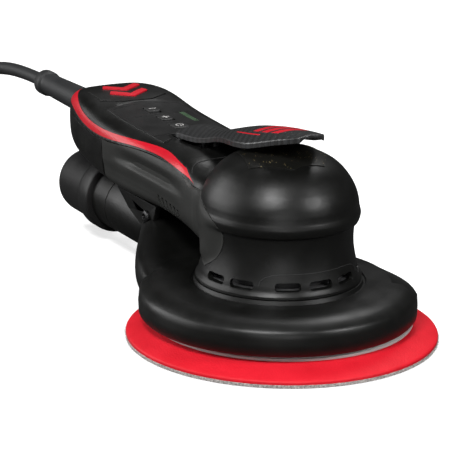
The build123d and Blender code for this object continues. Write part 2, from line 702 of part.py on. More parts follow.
for name, (x, y, length, width, top) in KEYS.items():
    with BuildPart() as key:
        with BuildSketch(Plane.XY.offset(KEY_LOW + 1.4)):
            with Locations((x, y)):
                RectangleRounded(length, width, 2.0)
        extrude(amount=top - KEY_LOW - 1.4)
        fillet(key.faces().sort_by(Axis.Z)[-1].edges(), 0.5)
        with BuildSketch(Plane.XY.offset(KEY_LOW)):
            with Locations((x, y)):
                RectangleRounded(length + 2.4, width + 2.4, 2.0)
        extrude(amount=1.4)
    finish(key.part, name)

# ---------------------------------------------------------------- electronics in the handle
with BuildPart() as keypad_board:
    with Locations((-118.0, 0, 71.8)):
        Box(44.0, 30.0, 1.6)
    with Locations(*[(x, y, 72.8) for x, y, length, width, top in KEYS.values()]):
        Box(4.0, 4.0, 0.4)
finish(keypad_board.part, "keypad_board")

with BuildPart() as controller_board:
    with Locations((-108.0, 0, 60.0)):
        Box(72.0, 36.0, 1.6)
    with Locations(*[(-134.0 + 14.0 * number, 8.0, 63.3) for number in range(3)]):
        Box(10.0, 10.0, 5.0)
finish(controller_board.part, "controller_board")

with BuildPart() as heat_sink:
    with Locations((-92.0, -6.0, 61.8)):
        Box(30.0, 16.0, 2.0)
    with Locations(*[(-92.0, -12.5 + 3.25 * number, 65.0) for number in range(5)]):
        Box(30.0, 1.4, 4.6)
finish(heat_sink.part, "heat_sink")

with BuildPart() as hall_sensor:
    with Locations((-62.0, 0, 69.5)):
        Box(6.0, 6.0, 2.0)
finish(hall_sensor.part, "hall_sensor")

# ---------------------------------------------------------------- lever, pin, spring and bracket
PIVOT_X, PIVOT_Z = LEVER_PIVOT


def lever_section(x, crown, half):
    """A thin curved strip across the lever."""
    drop = LEVER_DROP * half * half
    with BuildSketch(Plane.YZ.offset(x)) as strip:
        with BuildLine():
            ThreePointArc((-half, crown - drop), (0, crown), (half, crown - drop))
            Line((half, crown - drop), (half, crown - drop - LEVER_T))
            ThreePointArc((half, crown - drop - LEVER_T), (0, crown - LEVER_T),
                          (-half, crown - drop - LEVER_T))
            Line((-half, crown - drop - LEVER_T), (-half, crown - drop))
        make_face()
    return strip.sketch


EAR_Y = 6.1
EAR_T = 2.2
with BuildPart() as lever:
    loft(sections=[lever_section(*station) for station in LEVER])
    with BuildSketch(Plane.XZ):
        with Locations((PIVOT_X, PIVOT_Z)):
            Circle(3.6)
    extrude(amount=10.5, both=True)
    with BuildSketch(Plane.XY.offset(72.5)):
        with Locations((-62.0, 0)):
            Circle(2.5)
    extrude(amount=14.0)
    with Locations(*[(PIVOT_X, side * EAR_Y, 77.0) for side in (-1, 1)]):
        Box(12.0, EAR_T + 0.6, 9.6, mode=Mode.SUBTRACT)
    with BuildSketch(Plane.XZ):
        with Locations((PIVOT_X, PIVOT_Z)):
            Circle(1.5 + RUN)
    extrude(amount=20.0, both=True, mode=Mode.SUBTRACT)
finish(lever.part, "lever")

with BuildPart() as lever_pin:
    with BuildSketch(Plane.XZ):
        with Locations((PIVOT_X, PIVOT_Z)):
            Circle(1.5)
    extrude(amount=10.5, both=True)
finish(lever_pin.part, "lever_pin")

BRACKET_LOW = 71.6
with BuildPart() as lever_bracket:
    with Locations((-73.0, 0, BRACKET_LOW + 0.8)):
        Box(36.0, 27.4, 1.6)
    with Locations(*[(-73.0, side * 13.1, BRACKET_LOW + 2.6) for side in (-1, 1)]):
        Box(36.0, 1.2, 5.2)
    with Locations(*[(PIVOT_X, side * EAR_Y, (BRACKET_LOW + 81.6) / 2.0) for side in (-1, 1)]):
        Box(6.0, EAR_T, 81.6 - BRACKET_LOW)
    with BuildSketch(Plane.XZ):
        with Locations((PIVOT_X, PIVOT_Z)):
            Circle(1.5)
    extrude(amount=20.0, both=True, mode=Mode.SUBTRACT)
    with Locations((-62.0, 0, BRACKET_LOW)):
        Cylinder(3.2, 6.0, mode=Mode.SUBTRACT)
finish(lever_bracket.part, "lever_bracket")

SPRING_X = -73.5
SPRING_LOW = BRACKET_LOW + 1.6
SPRING_HIGH = 82.6
with BuildPart() as lever_spring:
    with BuildSketch(Plane.XY.offset(SPRING_LOW)):
        with Locations((SPRING_X, 0)):
            Circle(3.0)
            Circle(2.2, mode=Mode.SUBTRACT)
    extrude(amount=SPRING_HIGH - SPRING_LOW)
finish(lever_spring.part, "lever_spring")

# ---------------------------------------------------------------- bracket between duct and handle
with BuildPart() as tube_bracket:
    with BuildSketch(Plane.XZ):
        with BuildLine():
            Polyline((-131.0, 44.2), (-118.0, 36.0), (-103.0, 30.5), (-92.0, 30.5), (-87.0, 44.2), close=True)
        make_face()
    extrude(amount=BRACKET_Y + 1.5, both=True)
    with Locations((-109.0, 0, 34.0)):
        Box(60.0, 2.0 * BRACKET_Y - 3.0, 17.8, mode=Mode.SUBTRACT)
    loft(sections=cross_sections(DUCT, -FIT), mode=Mode.SUBTRACT)
    with Locations(*[(BRACKET_SCREW[0], side * BRACKET_Y, BRACKET_SCREW[1]) for side in (-1, 1)]):
        Cylinder(1.7, 8.0, rotation=(90, 0, 0), mode=Mode.SUBTRACT)
finish(tube_bracket.part, "tube_bracket")

with BuildPart() as bracket_screws:
    for side in (-1, 1):
        with Locations((BRACKET_SCREW[0], side * (BRACKET_Y + 0.6), BRACKET_SCREW[1])):
            Cylinder(1.6, 1.8, rotation=(90, 0, 0))
        with Locations((BRACKET_SCREW[0], side * (BRACKET_Y + 2.4), BRACKET_SCREW[1])):
            Cylinder(3.2, 1.8, rotation=(90, 0, 0))
bracket_screws.part.label = "bracket_screws"
export_step(bracket_screws.part, "parts/bracket_screws.step")

# ---------------------------------------------------------------- fasteners
with BuildPart() as shroud_screws:
    with PolarLocations(SCREW_CIRCLE, 4, start_angle=45):
        with Locations((0, 0, (CEILING + PLATE_HIGH) / 2.0)):
            Cylinder(2.0, PLATE_HIGH - CEILING)
        with Locations((0, 0, CEILING - 1.2)):
            Cylinder(3.6, 2.4)
shroud_screws.part.label = "shroud_screws"
export_step(shroud_screws.part, "parts/shroud_screws.step")

# ---------------------------------------------------------------- strain relief, cord, coil and plug
with BuildPart() as strain_relief:
    with BuildSketch(Plane.XZ):
        with BuildLine():
            Polyline((RELIEF_END, CORD_Z), (RELIEF_END, CORD_Z + 6.4), (RELIEF_END + 1.0, CORD_Z + 7.1),
                     (RELIEF_END + 6.5, CORD_Z + 7.1), (RELIEF_END + 7.5, CORD_Z + 6.1),
                     (REAR_X - 5.0, CORD_Z + 7.6), (REAR_X - 0.2, CORD_Z + 8.4), (REAR_X - 0.2, CORD_Z + 5.8),
                     (REAR_X + 5.4, CORD_Z + 5.8), (REAR_X + 5.4, CORD_Z), close=True)
        make_face()
    revolve(axis=Axis((0, 0, CORD_Z), (1, 0, 0)))
finish(strain_relief.part, "strain_relief")

with BuildPart() as cord_clamp:
    with Locations((REAR_X + 10.0, 0, CORD_Z)):
        Box(8.0, 24.0, 12.0)
finish(cord_clamp.part, "cord_clamp")

COIL_AT = (-390.0, -88.0)        # centre of the coil on the floor
COIL_MID = 52.5                  # radius at the middle of the turns
COIL_HALF = 15.0                 # half the width of the ring
COIL_TOP = 22.5                  # three layers of turns
ROUTE = [(RELIEF_END, 0, CORD_Z), (-304, 0, CORD_Z), (-341, -3, 62.5), (-374, -14, 49), (-403, -31, 33),
         (-428, -50, 18), (-446, -70, 10)]
power_cord, lead_length = cord_tube(ROUTE, "power_cord")
finish(power_cord, "power_cord")

with BuildPart() as cord_coil:
    with BuildSketch(Plane(origin=(*COIL_AT, 0), x_dir=(1, 0, 0), z_dir=(0, -1, 0))):
        with Locations((COIL_MID, COIL_TOP / 2.0)):
            RectangleRounded(2.0 * COIL_HALF, COIL_TOP, 3.4)
    revolve(axis=Axis((COIL_AT[0], COIL_AT[1], 0), (0, 0, 1)))
finish(cord_coil.part, "cord_coil")


def on_ring(angle, height):
    """A point above the middle of the coil's ring."""
    turn = radians(angle)
    return (COIL_AT[0] + COIL_MID * cos(turn), COIL_AT[1] + COIL_MID * sin(turn), height)


# The last turn climbs on top of the coil and ends in the plug, which lies across the ring.
PLUG_T = 14.0
PLUG_Z = COIL_TOP + PLUG_T / 2.0
TAIL = [on_ring(193, 16.0), on_ring(218, 20.5), on_ring(244, 26.0), on_ring(270, PLUG_Z)]
cord_tail, tail_length = cord_tube(TAIL, "cord_tail")
finish(cord_tail, "cord_tail")

heading = Vector(*TAIL[-1]) - Vector(*TAIL[-2])
heading = Vector(heading.X, heading.Y, heading.Z).normalized()
plug_side = Vector(-heading.Y, heading.X, 0).normalized()
PLUG_PLANE = Plane(origin=TAIL[-1], x_dir=plug_side, z_dir=heading)
with BuildPart() as plug_body:
    for distance, width, thick in ((0.0, 9.0, 9.0), (14.0, 10.5, 9.6), (16.0, 22.0, 12.0),
                                   (26.0, 33.0, PLUG_T - 0.4), (44.0, 35.0, PLUG_T - 0.4),
                                   (52.0, 33.0, 12.6)):
        with BuildSketch(PLUG_PLANE.offset(distance)):
            RectangleRounded(width, thick, 0.42 * min(width, thick))
    loft(ruled=True)
finish(plug_body.part, "plug_body")

with BuildPart() as plug_pins:
    with BuildSketch(PLUG_PLANE.offset(52.0)):
        with Locations((-9.5, 0), (9.5, 0)):
            Circle(2.4)
    extrude(amount=19.0)
plug_pins.part.label = "plug_pins"
export_step(plug_pins.part, "parts/plug_pins.step")
print("length in the coil's turns", round(CORD_LENGTH - lead_length - tail_length))
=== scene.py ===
"""Dual action polisher on a pale studio floor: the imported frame, dressed and lit.

Metres, in the frame of the CAD: origin at the pad's working face on the motor axis,
+X to the front of the head, handle and cord towards -X, +Z up.
"""
import json
import random
from math import cos, pi, radians, sin

import bmesh
import bpy
from mathutils import Matrix, Vector


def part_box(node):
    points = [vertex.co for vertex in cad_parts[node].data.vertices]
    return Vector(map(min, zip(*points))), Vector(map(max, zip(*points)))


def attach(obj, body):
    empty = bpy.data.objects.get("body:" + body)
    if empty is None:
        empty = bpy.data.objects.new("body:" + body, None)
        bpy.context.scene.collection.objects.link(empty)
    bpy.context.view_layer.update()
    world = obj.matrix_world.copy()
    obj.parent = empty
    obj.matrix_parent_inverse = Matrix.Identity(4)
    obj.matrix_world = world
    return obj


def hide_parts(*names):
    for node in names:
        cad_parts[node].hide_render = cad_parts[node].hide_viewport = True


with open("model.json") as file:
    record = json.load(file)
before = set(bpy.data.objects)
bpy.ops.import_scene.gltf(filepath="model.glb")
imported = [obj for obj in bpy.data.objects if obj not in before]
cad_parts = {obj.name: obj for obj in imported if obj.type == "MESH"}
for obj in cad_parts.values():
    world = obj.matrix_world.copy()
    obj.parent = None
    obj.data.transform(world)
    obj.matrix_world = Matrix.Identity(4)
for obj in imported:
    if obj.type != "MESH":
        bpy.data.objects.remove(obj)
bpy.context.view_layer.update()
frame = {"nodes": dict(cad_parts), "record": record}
NODES = frame["nodes"]
BODY_OF = {node: body for body, members in frame["record"]["behaviour"]["bodies"].items() for node in members}
MM = 0.001
SIDES = ((1, "left"), (-1, "right"))
random.seed(7)

# ------------------------------------------------------------------ camera
VIEW_AZIMUTH = radians(60.0)
VIEW_ELEVATION = radians(16.9)
VIEW_ROLL = radians(1.15)
VIEW_TARGET = Vector((0.0, 0.0, 0.045))
VIEW_DISTANCE = 1.141
VIEW_LENS = 191.2
AIM_RIGHT = -0.02204        # the target lies a little right of the middle of the view
AIM_UP = 0.00813            # and a little below it


def make_camera():
    """A long lens at the machine's front right, a little above the head."""
    back = Vector((sin(VIEW_AZIMUTH) * cos(VIEW_ELEVATION), -cos(VIEW_AZIMUTH) * cos(VIEW_ELEVATION),
                   sin(VIEW_ELEVATION)))
    level = Vector((cos(VIEW_AZIMUTH), sin(VIEW_AZIMUTH), 0.0))
    above = back.cross(level)
    right = level * cos(VIEW_ROLL) + above * sin(VIEW_ROLL)
    up = above * cos(VIEW_ROLL) - level * sin(VIEW_ROLL)
    axis = (back - right * AIM_RIGHT - up * AIM_UP).normalized()
    right = (right - axis * right.dot(axis)).normalized()
    up = axis.cross(right)
    camera = bpy.data.objects.new("camera", bpy.data.cameras.new("camera"))
    camera.data.lens = VIEW_LENS
    camera.data.sensor_width = 36.0
    camera.data.clip_start = 0.05
    camera.data.clip_end = 20.0
    place = Matrix((right, up, axis)).transposed().to_4x4()
    place.translation = VIEW_TARGET + back * VIEW_DISTANCE
    camera.matrix_world = place
    bpy.context.scene.collection.objects.link(camera)
    bpy.context.scene.camera = camera


make_camera()


# ------------------------------------------------------------------ material building
class Shader:
    """A material with a small vocabulary for its nodes."""

    def __init__(self, name, colour, roughness, **sockets):
        self.material = bpy.data.materials.new(name)
        self.material.use_nodes = True
        self.tree = self.material.node_tree
        self.surface = self.tree.nodes["Principled BSDF"]
        self.set("Base Color", (*colour, 1.0))
        self.set("Roughness", roughness)
        for socket, value in sockets.items():
            self.set(socket.replace("_", " "), value)
        self.where = self.tree.nodes.new("ShaderNodeTexCoord").outputs["Object"]
        self.bumps = None

    def set(self, socket, value):
        self.surface.inputs[socket].default_value = value

    def link(self, source, target):
        self.tree.links.new(source, target)

    def noise(self, size, detail=3.0, stretch=(1.0, 1.0, 1.0), rough=0.5):
        """Noise whose features are about size metres across."""
        mapping = self.tree.nodes.new("ShaderNodeMapping")
        mapping.inputs["Scale"].default_value = stretch
        self.link(self.where, mapping.inputs["Vector"])
        node = self.tree.nodes.new("ShaderNodeTexNoise")
        node.inputs["Scale"].default_value = 1.0 / size
        node.inputs["Detail"].default_value = detail
        node.inputs["Roughness"].default_value = rough
        self.link(mapping.outputs["Vector"], node.inputs["Vector"])
        return node.outputs["Fac"]

    def cells(self, size, feature="F1"):
        node = self.tree.nodes.new("ShaderNodeTexVoronoi")
        node.feature = feature
        node.inputs["Scale"].default_value = 1.0 / size
        self.link(self.where, node.inputs["Vector"])
        return node.outputs["Distance"]

    def ramp(self, source, low, high, start, end):
        """Maps source from low..high to start..end, which are numbers."""
        node = self.tree.nodes.new("ShaderNodeMapRange")
        for socket, value in (("From Min", low), ("From Max", high), ("To Min", start), ("To Max", end)):
            node.inputs[socket].default_value = value
        self.link(source, node.inputs["Value"])
        return node.outputs["Result"]

    def maths(self, operation, first, second=0.0):
        node = self.tree.nodes.new("ShaderNodeMath")
        node.operation = operation
        for socket, value in zip(node.inputs, (first, second)):
            if isinstance(value, (int, float)):
                socket.default_value = value
            else:
                self.link(value, socket)
        return node.outputs["Value"]

    def mix(self, factor, first, second):
        """A colour between two, each a colour or a socket."""
        node = self.tree.nodes.new("ShaderNodeMix")
        node.data_type = "RGBA"
        colours = [socket for socket in node.inputs if socket.type == "RGBA"]
        self.link(factor, node.inputs["Factor"])
        for socket, value in zip(colours, (first, second)):
            if isinstance(value, tuple):
                socket.default_value = (*value, 1.0)
            else:
                self.link(value, socket)
        return next(socket for socket in node.outputs if socket.type == "RGBA")

    def paint(self, factor, first, second):
        self.link(self.mix(factor, first, second), self.surface.inputs["Base Color"])

    def roughen(self, source, low, high, start, end):
        self.link(self.ramp(source, low, high, start, end), self.surface.inputs["Roughness"])

    def bump(self, height, depth):
        """Adds relief of depth metres from height."""
        node = self.tree.nodes.new("ShaderNodeBump")
        node.inputs["Strength"].default_value = 1.0
        node.inputs["Distance"].default_value = depth
        self.link(height, node.inputs["Height"])
        if self.bumps:
            self.link(self.bumps, node.inputs["Normal"])
        self.bumps = node.outputs["Normal"]
        self.link(self.bumps, self.surface.inputs["Normal"])

    def worn_edges(self, colour, worn, amount=0.5):
        """Edges a little lighter than the rest."""
        edge = self.tree.nodes.new("ShaderNodeNewGeometry").outputs["Pointiness"]
        mask = self.ramp(edge, 0.52, 0.60, 0.0, amount)
        blotch = self.ramp(self.noise(0.006), 0.35, 0.65, 0.3, 1.0)
        self.paint(self.maths("MULTIPLY", mask, blotch), colour, worn)


def moulded(name, colour, roughness, grain=0.00035, depth=0.00003, spread=0.06, lighter=1.8, **sockets):
    """Moulded plastic or rubber with a spark-eroded grain and slightly uneven gloss."""
    shader = Shader(name, colour, roughness, **sockets)
    fine = shader.noise(grain, 2.0)
    shader.bump(fine, depth)
    shader.bump(shader.noise(0.025, 1.0), 0.00008)
    shader.roughen(shader.noise(0.012, 4.0), 0.3, 0.7, roughness - spread, roughness + spread)
    shader.worn_edges(colour, tuple(min(1.0, part * lighter + 0.01) for part in colour))
    return shader


def metal(name, colour, roughness, stretch=(1.0, 1.0, 14.0)):
    """Turned, ground or cast metal with fine marks."""
    shader = Shader(name, colour, roughness, Metallic=1.0)
    marks = shader.noise(0.0012, 4.0, stretch)
    shader.roughen(marks, 0.3, 0.7, roughness * 0.75, roughness * 1.3)
    shader.bump(marks, 0.00002)
    shader.paint(shader.noise(0.01, 3.0), tuple(part * 0.86 for part in colour), colour)
    return shader


def speckled(name):
    """Gloss black with sparse metallic flakes."""
    ground, gold = (0.006, 0.006, 0.005), (0.62, 0.50, 0.26)
    shader = moulded(name, ground, 0.36, depth=0.00006, Specular_IOR_Level=0.4)
    flake = shader.ramp(shader.cells(0.0010), 0.12, 0.20, 1.0, 0.0)
    chosen = shader.ramp(shader.noise(0.0022, 1.0), 0.54, 0.58, 0.0, 1.0)
    shader.paint(shader.maths("MULTIPLY", flake, chosen), ground, gold)
    return shader


TOW = 0.0012                # width of one band of the lever's weave
CLEAR_OF_ZERO = 400.0       # tows added before a remainder is taken, which must not be negative


def twill(name):
    """Woven carbon twill: bands that step sideways row by row, under a satin lacquer. Its colour is the
    weave's pattern with painted sheen and shade: bands on top and crowns lighter, hollows darker.
    """
    shader = Shader(name, (0.035, 0.035, 0.035), 0.38, Coat_Weight=0.35, Coat_Roughness=0.22)

    def crown(place):
        """The rounded height across one band."""
        part = shader.maths("FRACT", shader.maths("ADD", place, CLEAR_OF_ZERO))
        return shader.maths("SINE", shader.maths("MULTIPLY", part, pi))

    axes = shader.tree.nodes.new("ShaderNodeSeparateXYZ")
    shader.link(shader.where, axes.inputs["Vector"])
    along = shader.maths("DIVIDE", axes.outputs["X"], TOW)
    across = shader.maths("DIVIDE", axes.outputs["Y"], TOW)
    column = shader.maths("FLOOR", along)
    row = shader.maths("FLOOR", across)
    diagonal = shader.maths("ADD", shader.maths("ADD", column, row), CLEAR_OF_ZERO)
    step = shader.maths("MODULO", diagonal, 4.0)
    over = shader.maths("LESS_THAN", step, 1.5)
    lifted = shader.maths("MULTIPLY", over, crown(across))
    under = shader.maths("MULTIPLY", shader.maths("SUBTRACT", 1.0, over), crown(along))
    height = shader.maths("ADD", lifted, shader.maths("MULTIPLY", under, 0.55))
    shader.bump(height, 0.00012)
    # Painted sheen and shade: lighter on the bands on top and on the crowns, darker in the hollows between
    # the bands.
    shade = shader.maths("ADD", shader.maths("MULTIPLY", over, 0.75), shader.maths("MULTIPLY", height, 0.25))
    shader.paint(shade, (0.006, 0.006, 0.006), (0.034, 0.035, 0.036))
    shader.link(shader.ramp(over, 0.0, 1.0, 0.5, 0.3), shader.surface.inputs["Roughness"])
    return shader


def foam(name):
    """Fine-cell moulded foam with a skin."""
    shader = Shader(name, (0.80, 0.015, 0.030), 0.55, Specular_IOR_Level=0.3)
    shader.bump(shader.cells(0.0009), 0.00012)
    shader.bump(shader.noise(0.006, 3.0), 0.0002)
    tone = shader.ramp(shader.noise(0.018, 5.0), 0.3, 0.7, 0.0, 1.0)
    shader.paint(tone, (0.68, 0.006, 0.018), (0.80, 0.012, 0.028))
    return shader


def nap(name):
    """The hook layer's felted fibre face."""
    shader = Shader(name, (0.30, 0.27, 0.25), 0.95, Sheen_Weight=0.4, Sheen_Roughness=0.6)
    shader.bump(shader.noise(0.0004, 2.0), 0.0003)
    shader.paint(shader.ramp(shader.noise(0.0009, 3.0), 0.35, 0.65, 0.0, 1.0), (0.22, 0.20, 0.19),
                 (0.62, 0.58, 0.55))
    return shader


def circuit(name):
    """Solder mask over copper tracks."""
    shader = Shader(name, (0.02, 0.13, 0.05), 0.35)
    tracks = shader.ramp(shader.cells(0.0025, "DISTANCE_TO_EDGE"), 0.04, 0.08, 1.0, 0.0)
    shader.paint(tracks, (0.012, 0.09, 0.035), (0.03, 0.17, 0.07))
    shader.bump(tracks, 0.00004)
    return shader


def wound(name):
    """Enamelled copper wire."""
    shader = Shader(name, (0.62, 0.26, 0.11), 0.3, Metallic=1.0)
    strands = shader.noise(0.0008, 1.0, (1.0, 1.0, 9.0))
    shader.bump(strands, 0.0002)
    # Painted sheen and shade: lighter on the raised strands, darker in the grooves between them.
    shader.paint(strands, (0.42, 0.15, 0.06), (0.72, 0.33, 0.15))
    return shader


def laminated(name):
    """Stacked electrical sheet seen edge on."""
    shader = metal(name, (0.33, 0.33, 0.35), 0.45, (0.3, 0.3, 40.0))
    shader.bump(shader.noise(0.0012, 0.0, (0.1, 0.1, 12.0)), 0.00008)
    return shader


BLACK = (0.0030, 0.0031, 0.0027)
GREY = (0.021, 0.0215, 0.020)
MATERIALS = {
    "housing_plastic": moulded("housing_plastic", BLACK, 0.40, Specular_IOR_Level=0.42),
    "hose_plastic": moulded("hose_plastic", (0.012, 0.012, 0.012), 0.42, Specular_IOR_Level=0.4),
    "speckled_patch": speckled("speckled_patch"),
    "grip_rubber": moulded("grip_rubber", GREY, 0.52, 0.0003, 0.00003, Specular_IOR_Level=0.4),
    "red_trim": moulded("red_trim", (0.62, 0.006, 0.020), 0.36, 0.0003, 0.00001, lighter=1.15,
                        Coat_Weight=0.2, Coat_Roughness=0.25),
    "panel_film": moulded("panel_film", (0.012, 0.012, 0.012), 0.36, 0.0002, 0.00001),
    "key_rubber": moulded("key_rubber", (0.014, 0.014, 0.014), 0.5),
    "lens": moulded("lens", (0.05, 0.09, 0.05), 0.15, 0.002, 0.00001),
    "lever_weave": twill("lever_weave"),
    "bearing_steel": metal("bearing_steel", (0.60, 0.60, 0.61), 0.22),
    "shaft_steel": metal("shaft_steel", (0.52, 0.52, 0.53), 0.28),
    "die_cast": metal("die_cast", (0.50, 0.50, 0.51), 0.5, (1.0, 1.0, 1.0)),
    "laminations": laminated("laminations"),
    "magnet": metal("magnet", (0.24, 0.24, 0.26), 0.35),
    "copper": wound("copper"),
    "fan_plastic": moulded("fan_plastic", (0.008, 0.008, 0.008), 0.55, Specular_IOR_Level=0.3),
    "seal_rubber": moulded("seal_rubber", (0.010, 0.010, 0.010), 0.6),
    "screw_steel": metal("screw_steel", (0.055, 0.055, 0.056), 0.38, (1.0, 1.0, 1.0)),
    "board": circuit("board"),
    "cord_rubber": moulded("cord_rubber", (0.020, 0.021, 0.022), 0.50, 0.0005, 0.00004),
    "plug_plastic": moulded("plug_plastic", (0.015, 0.015, 0.016), 0.42),
    "pin_brass": metal("pin_brass", (0.70, 0.66, 0.58), 0.25),
    "pad_plate_grey": moulded("pad_plate_grey", (0.52, 0.51, 0.50), 0.42, lighter=1.1),
    "pad_foam_red": foam("pad_foam_red"),
    "hook_grey": nap("hook_grey"),
}
SLOT_OF = {entry["node"]: entry["material_slot"] for entry in frame["record"]["subparts"]}
for node, piece in NODES.items():
    piece.data.materials.clear()
    piece.data.materials.append(MATERIALS[SLOT_OF[node]].material)


# ------------------------------------------------------------------ piece building
def dress(piece, slot, body):
    """Gives a piece its finish, unless it has one, and the body that it rides on."""
    if not piece.data.materials:
        piece.data.materials.append(MATERIALS[slot].material)
    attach(piece, body)
    return piece


def enrol(piece, slot, *nodes):
    """Dresses a piece and hides the CAD nodes that it stands for."""
    dress(piece, slot, BODY_OF[nodes[0]])
    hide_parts(*nodes)
    return piece


def link(name, data):
    piece = bpy.data.objects.new(name, data)
    bpy.context.scene.collection.objects.link(piece)
    return piece


def mesh_from(name, points, faces, smooth_below=32.0):
    """A mesh object with smooth shading over shallow edges."""
    mesh = bpy.data.meshes.new(name)
    mesh.from_pydata([tuple(point) for point in points], [], faces)
    mesh.validate()
    soften(mesh, smooth_below)
    return link(name, mesh)


def soften(mesh, angle):
    for face in mesh.polygons:
        face.use_smooth = True
    mesh.set_sharp_from_angle(angle=radians(angle))


def bevel(piece, width, segments=2, angle=38.0):
    """Rounds the sharp edges of a piece."""
    modifier = piece.modifiers.new("edges", "BEVEL")
    modifier.width = width
    modifier.segments = segments
    modifier.limit_method = "ANGLE"
    modifier.angle_limit = radians(angle)
    modifier.use_clamp_overlap = True
    modifier.harden_normals = False
    return piece


def moulding(node, edge):
    """A copy of a CAD node with welded corners, smooth flanks and rounded edges."""
    mesh = NODES[node].data.copy()
    piece = link(node + "_moulding", mesh)
    shape = bmesh.new()
    shape.from_mesh(mesh)
    bmesh.ops.remove_doubles(shape, verts=shape.verts, dist=0.000004)
    bmesh.ops.dissolve_degenerate(shape, dist=0.000004, edges=shape.edges)
    shape.to_mesh(mesh)
    shape.free()
    soften(mesh, 30.0)
    if edge:
        bevel(piece, edge)
    return enrol(piece, SLOT_OF[node], node)


def ring_of(count):
    """Angles once round."""
    return [2.0 * pi * number / count for number in range(count)]


def lathe(name, profile, centre=(0.0, 0.0), count=160, change=None):
    """A closed profile of radius and height turned round an upright axis."""
    points = []
    for angle in ring_of(count):
        for radius, height in profile:
            if change:
                radius, height = change(radius, height, angle)
            points.append((centre[0] + radius * cos(angle), centre[1] + radius * sin(angle), height))
    rows = len(profile)
    faces = []
    for column in range(count):
        after = (column + 1) % count
        for row in range(rows):
            below = (row + 1) % rows
            faces.append((column * rows + row, after * rows + row, after * rows + below,
                          column * rows + below))
    return mesh_from(name, points, faces)


def face_outwards(mesh):
    """Turns every face of a closed mesh to the outside."""
    shape = bmesh.new()
    shape.from_mesh(mesh)
    bmesh.ops.recalc_face_normals(shape, faces=shape.faces)
    shape.to_mesh(mesh)
    shape.free()


def prism_faces(count):
    """Faces of a prism whose points are its near outline and then its far one, count in each."""
    faces = [tuple(range(count)), tuple(reversed(range(count, 2 * count)))]
    for here in range(count):
        after = (here + 1) % count
        faces.append((after, here, here + count, after + count))
    return faces


# ------------------------------------------------------------------ mains cord
CORD_D = 0.0075
CORD_R = CORD_D / 2.0
CORD_EXIT = (-0.269, 0.0, 0.0685)
ROUTE = [CORD_EXIT, (-0.304, 0.0, 0.0685), (-0.341, -0.003, 0.0625), (-0.374, -0.014, 0.049),
         (-0.403, -0.031, 0.033), (-0.428, -0.050, 0.018), (-0.446, -0.070, 0.010)]
COIL_AT = (-0.390, -0.088)
COIL_MID = 0.0525
COIL_TOP = 0.0225
COLUMNS = 4
LAYERS = 3
TURN_POINTS = 16
FIRST_ANGLE = 182.0          # where the lead joins the turns, in degrees
LAST_ANGLE = 170.0           # where the tail leaves them, going round anticlockwise


def on_ring(angle, height, radius=COIL_MID):
    turn = radians(angle)
    return (COIL_AT[0] + radius * cos(turn), COIL_AT[1] + radius * sin(turn), height)


def coil_turns():
    """Control points of the stored turns, from the outside of the lowest layer to the top."""
    places = []
    for layer in range(LAYERS):
        across = [COIL_MID + (1.5 - column) * CORD_D for column in range(COLUMNS)]
        inwards = across if layer % 2 == 0 else across[::-1]
        places += [(radius, (layer + 0.5) * CORD_D) for radius in inwards]
    sweep = 360.0 * (len(places) - 1) + LAST_ANGLE - FIRST_ANGLE
    count = round(sweep / 360.0 * TURN_POINTS)
    points = []
    for step in range(count + 1):
        turn = step / TURN_POINTS
        here = min(int(turn), len(places) - 1)
        before = places[max(here - 1, 0)]
        share = min(1.0, (turn - here) / 0.3)
        share = share * share * (3.0 - 2.0 * share)
        radius = before[0] + (places[here][0] - before[0]) * share
        height = before[1] + (places[here][1] - before[1]) * share
        radius += 0.0004 * sin(2.3 * turn + 0.7)
        points.append(on_ring(FIRST_ANGLE + 360.0 * turn, height, radius))
    return points


PLUG_T = 0.014
TAIL = [on_ring(193.0, 0.0205), on_ring(218.0, 0.0235), on_ring(244.0, 0.0275),
        on_ring(270.0, COIL_TOP + PLUG_T / 2.0)]


def make_cord():
    """One smooth curve from the strain relief through the stored turns to the plug."""
    points = ROUTE + coil_turns() + TAIL
    curve = bpy.data.curves.new("mains_cord", "CURVE")
    curve.dimensions = "3D"
    curve.bevel_depth = CORD_R
    curve.bevel_resolution = 5
    curve.resolution_u = 6
    curve.use_fill_caps = True
    spline = curve.splines.new("NURBS")
    spline.points.add(len(points) - 1)
    for control, point in zip(spline.points, points):
        control.co = (*point, 1.0)
    spline.order_u = 3
    spline.use_endpoint_u = True
    piece = link("mains_cord", curve)
    return enrol(piece, "cord_rubber", "power_cord", "cord_coil", "cord_tail")


cord = make_cord()
plug_body = moulding("plug_body", 0.0008)
plug_pins = moulding("plug_pins", 0.0006)

# ------------------------------------------------------------------ mouldings that keep the CAD's shape
for node, edge in (("motor_housing", 0.0004), ("dome_patch", 0.0), ("shroud", 0.0006),
                   ("tube_bracket", 0.0006), ("handle_shell", 0.0003), ("rear_cover", 0.0004),
                   ("red_trim", 0.0002), ("control_panel", 0.00025), ("emblem_plate", 0.0003),
                   ("strain_relief", 0.0004), ("pad_plate", 0.0002)):
    moulding(node, edge)


def curve_through(knots, at):
    """Smooth value at a place along knots of (place, value), flat beyond both ends."""
    if at <= knots[0][0]:
        return knots[0][1]
    for number in range(len(knots) - 1):
        (x1, y1), (x2, y2) = knots[number], knots[number + 1]
        if at <= x2:
            x0, y0 = knots[max(number - 1, 0)]
            x3, y3 = knots[min(number + 2, len(knots) - 1)]
            slope1 = (y2 - y0) / (x2 - x0)
            slope2 = (y3 - y1) / (x3 - x1)
            t = (at - x1) / (x2 - x1)
            span = x2 - x1
            return ((2 * t ** 3 - 3 * t ** 2 + 1) * y1 + (t ** 3 - 2 * t ** 2 + t) * span * slope1
                    + (3 * t ** 2 - 2 * t ** 3) * y2 + (t ** 3 - t ** 2) * span * slope2)
    return knots[-1][1]


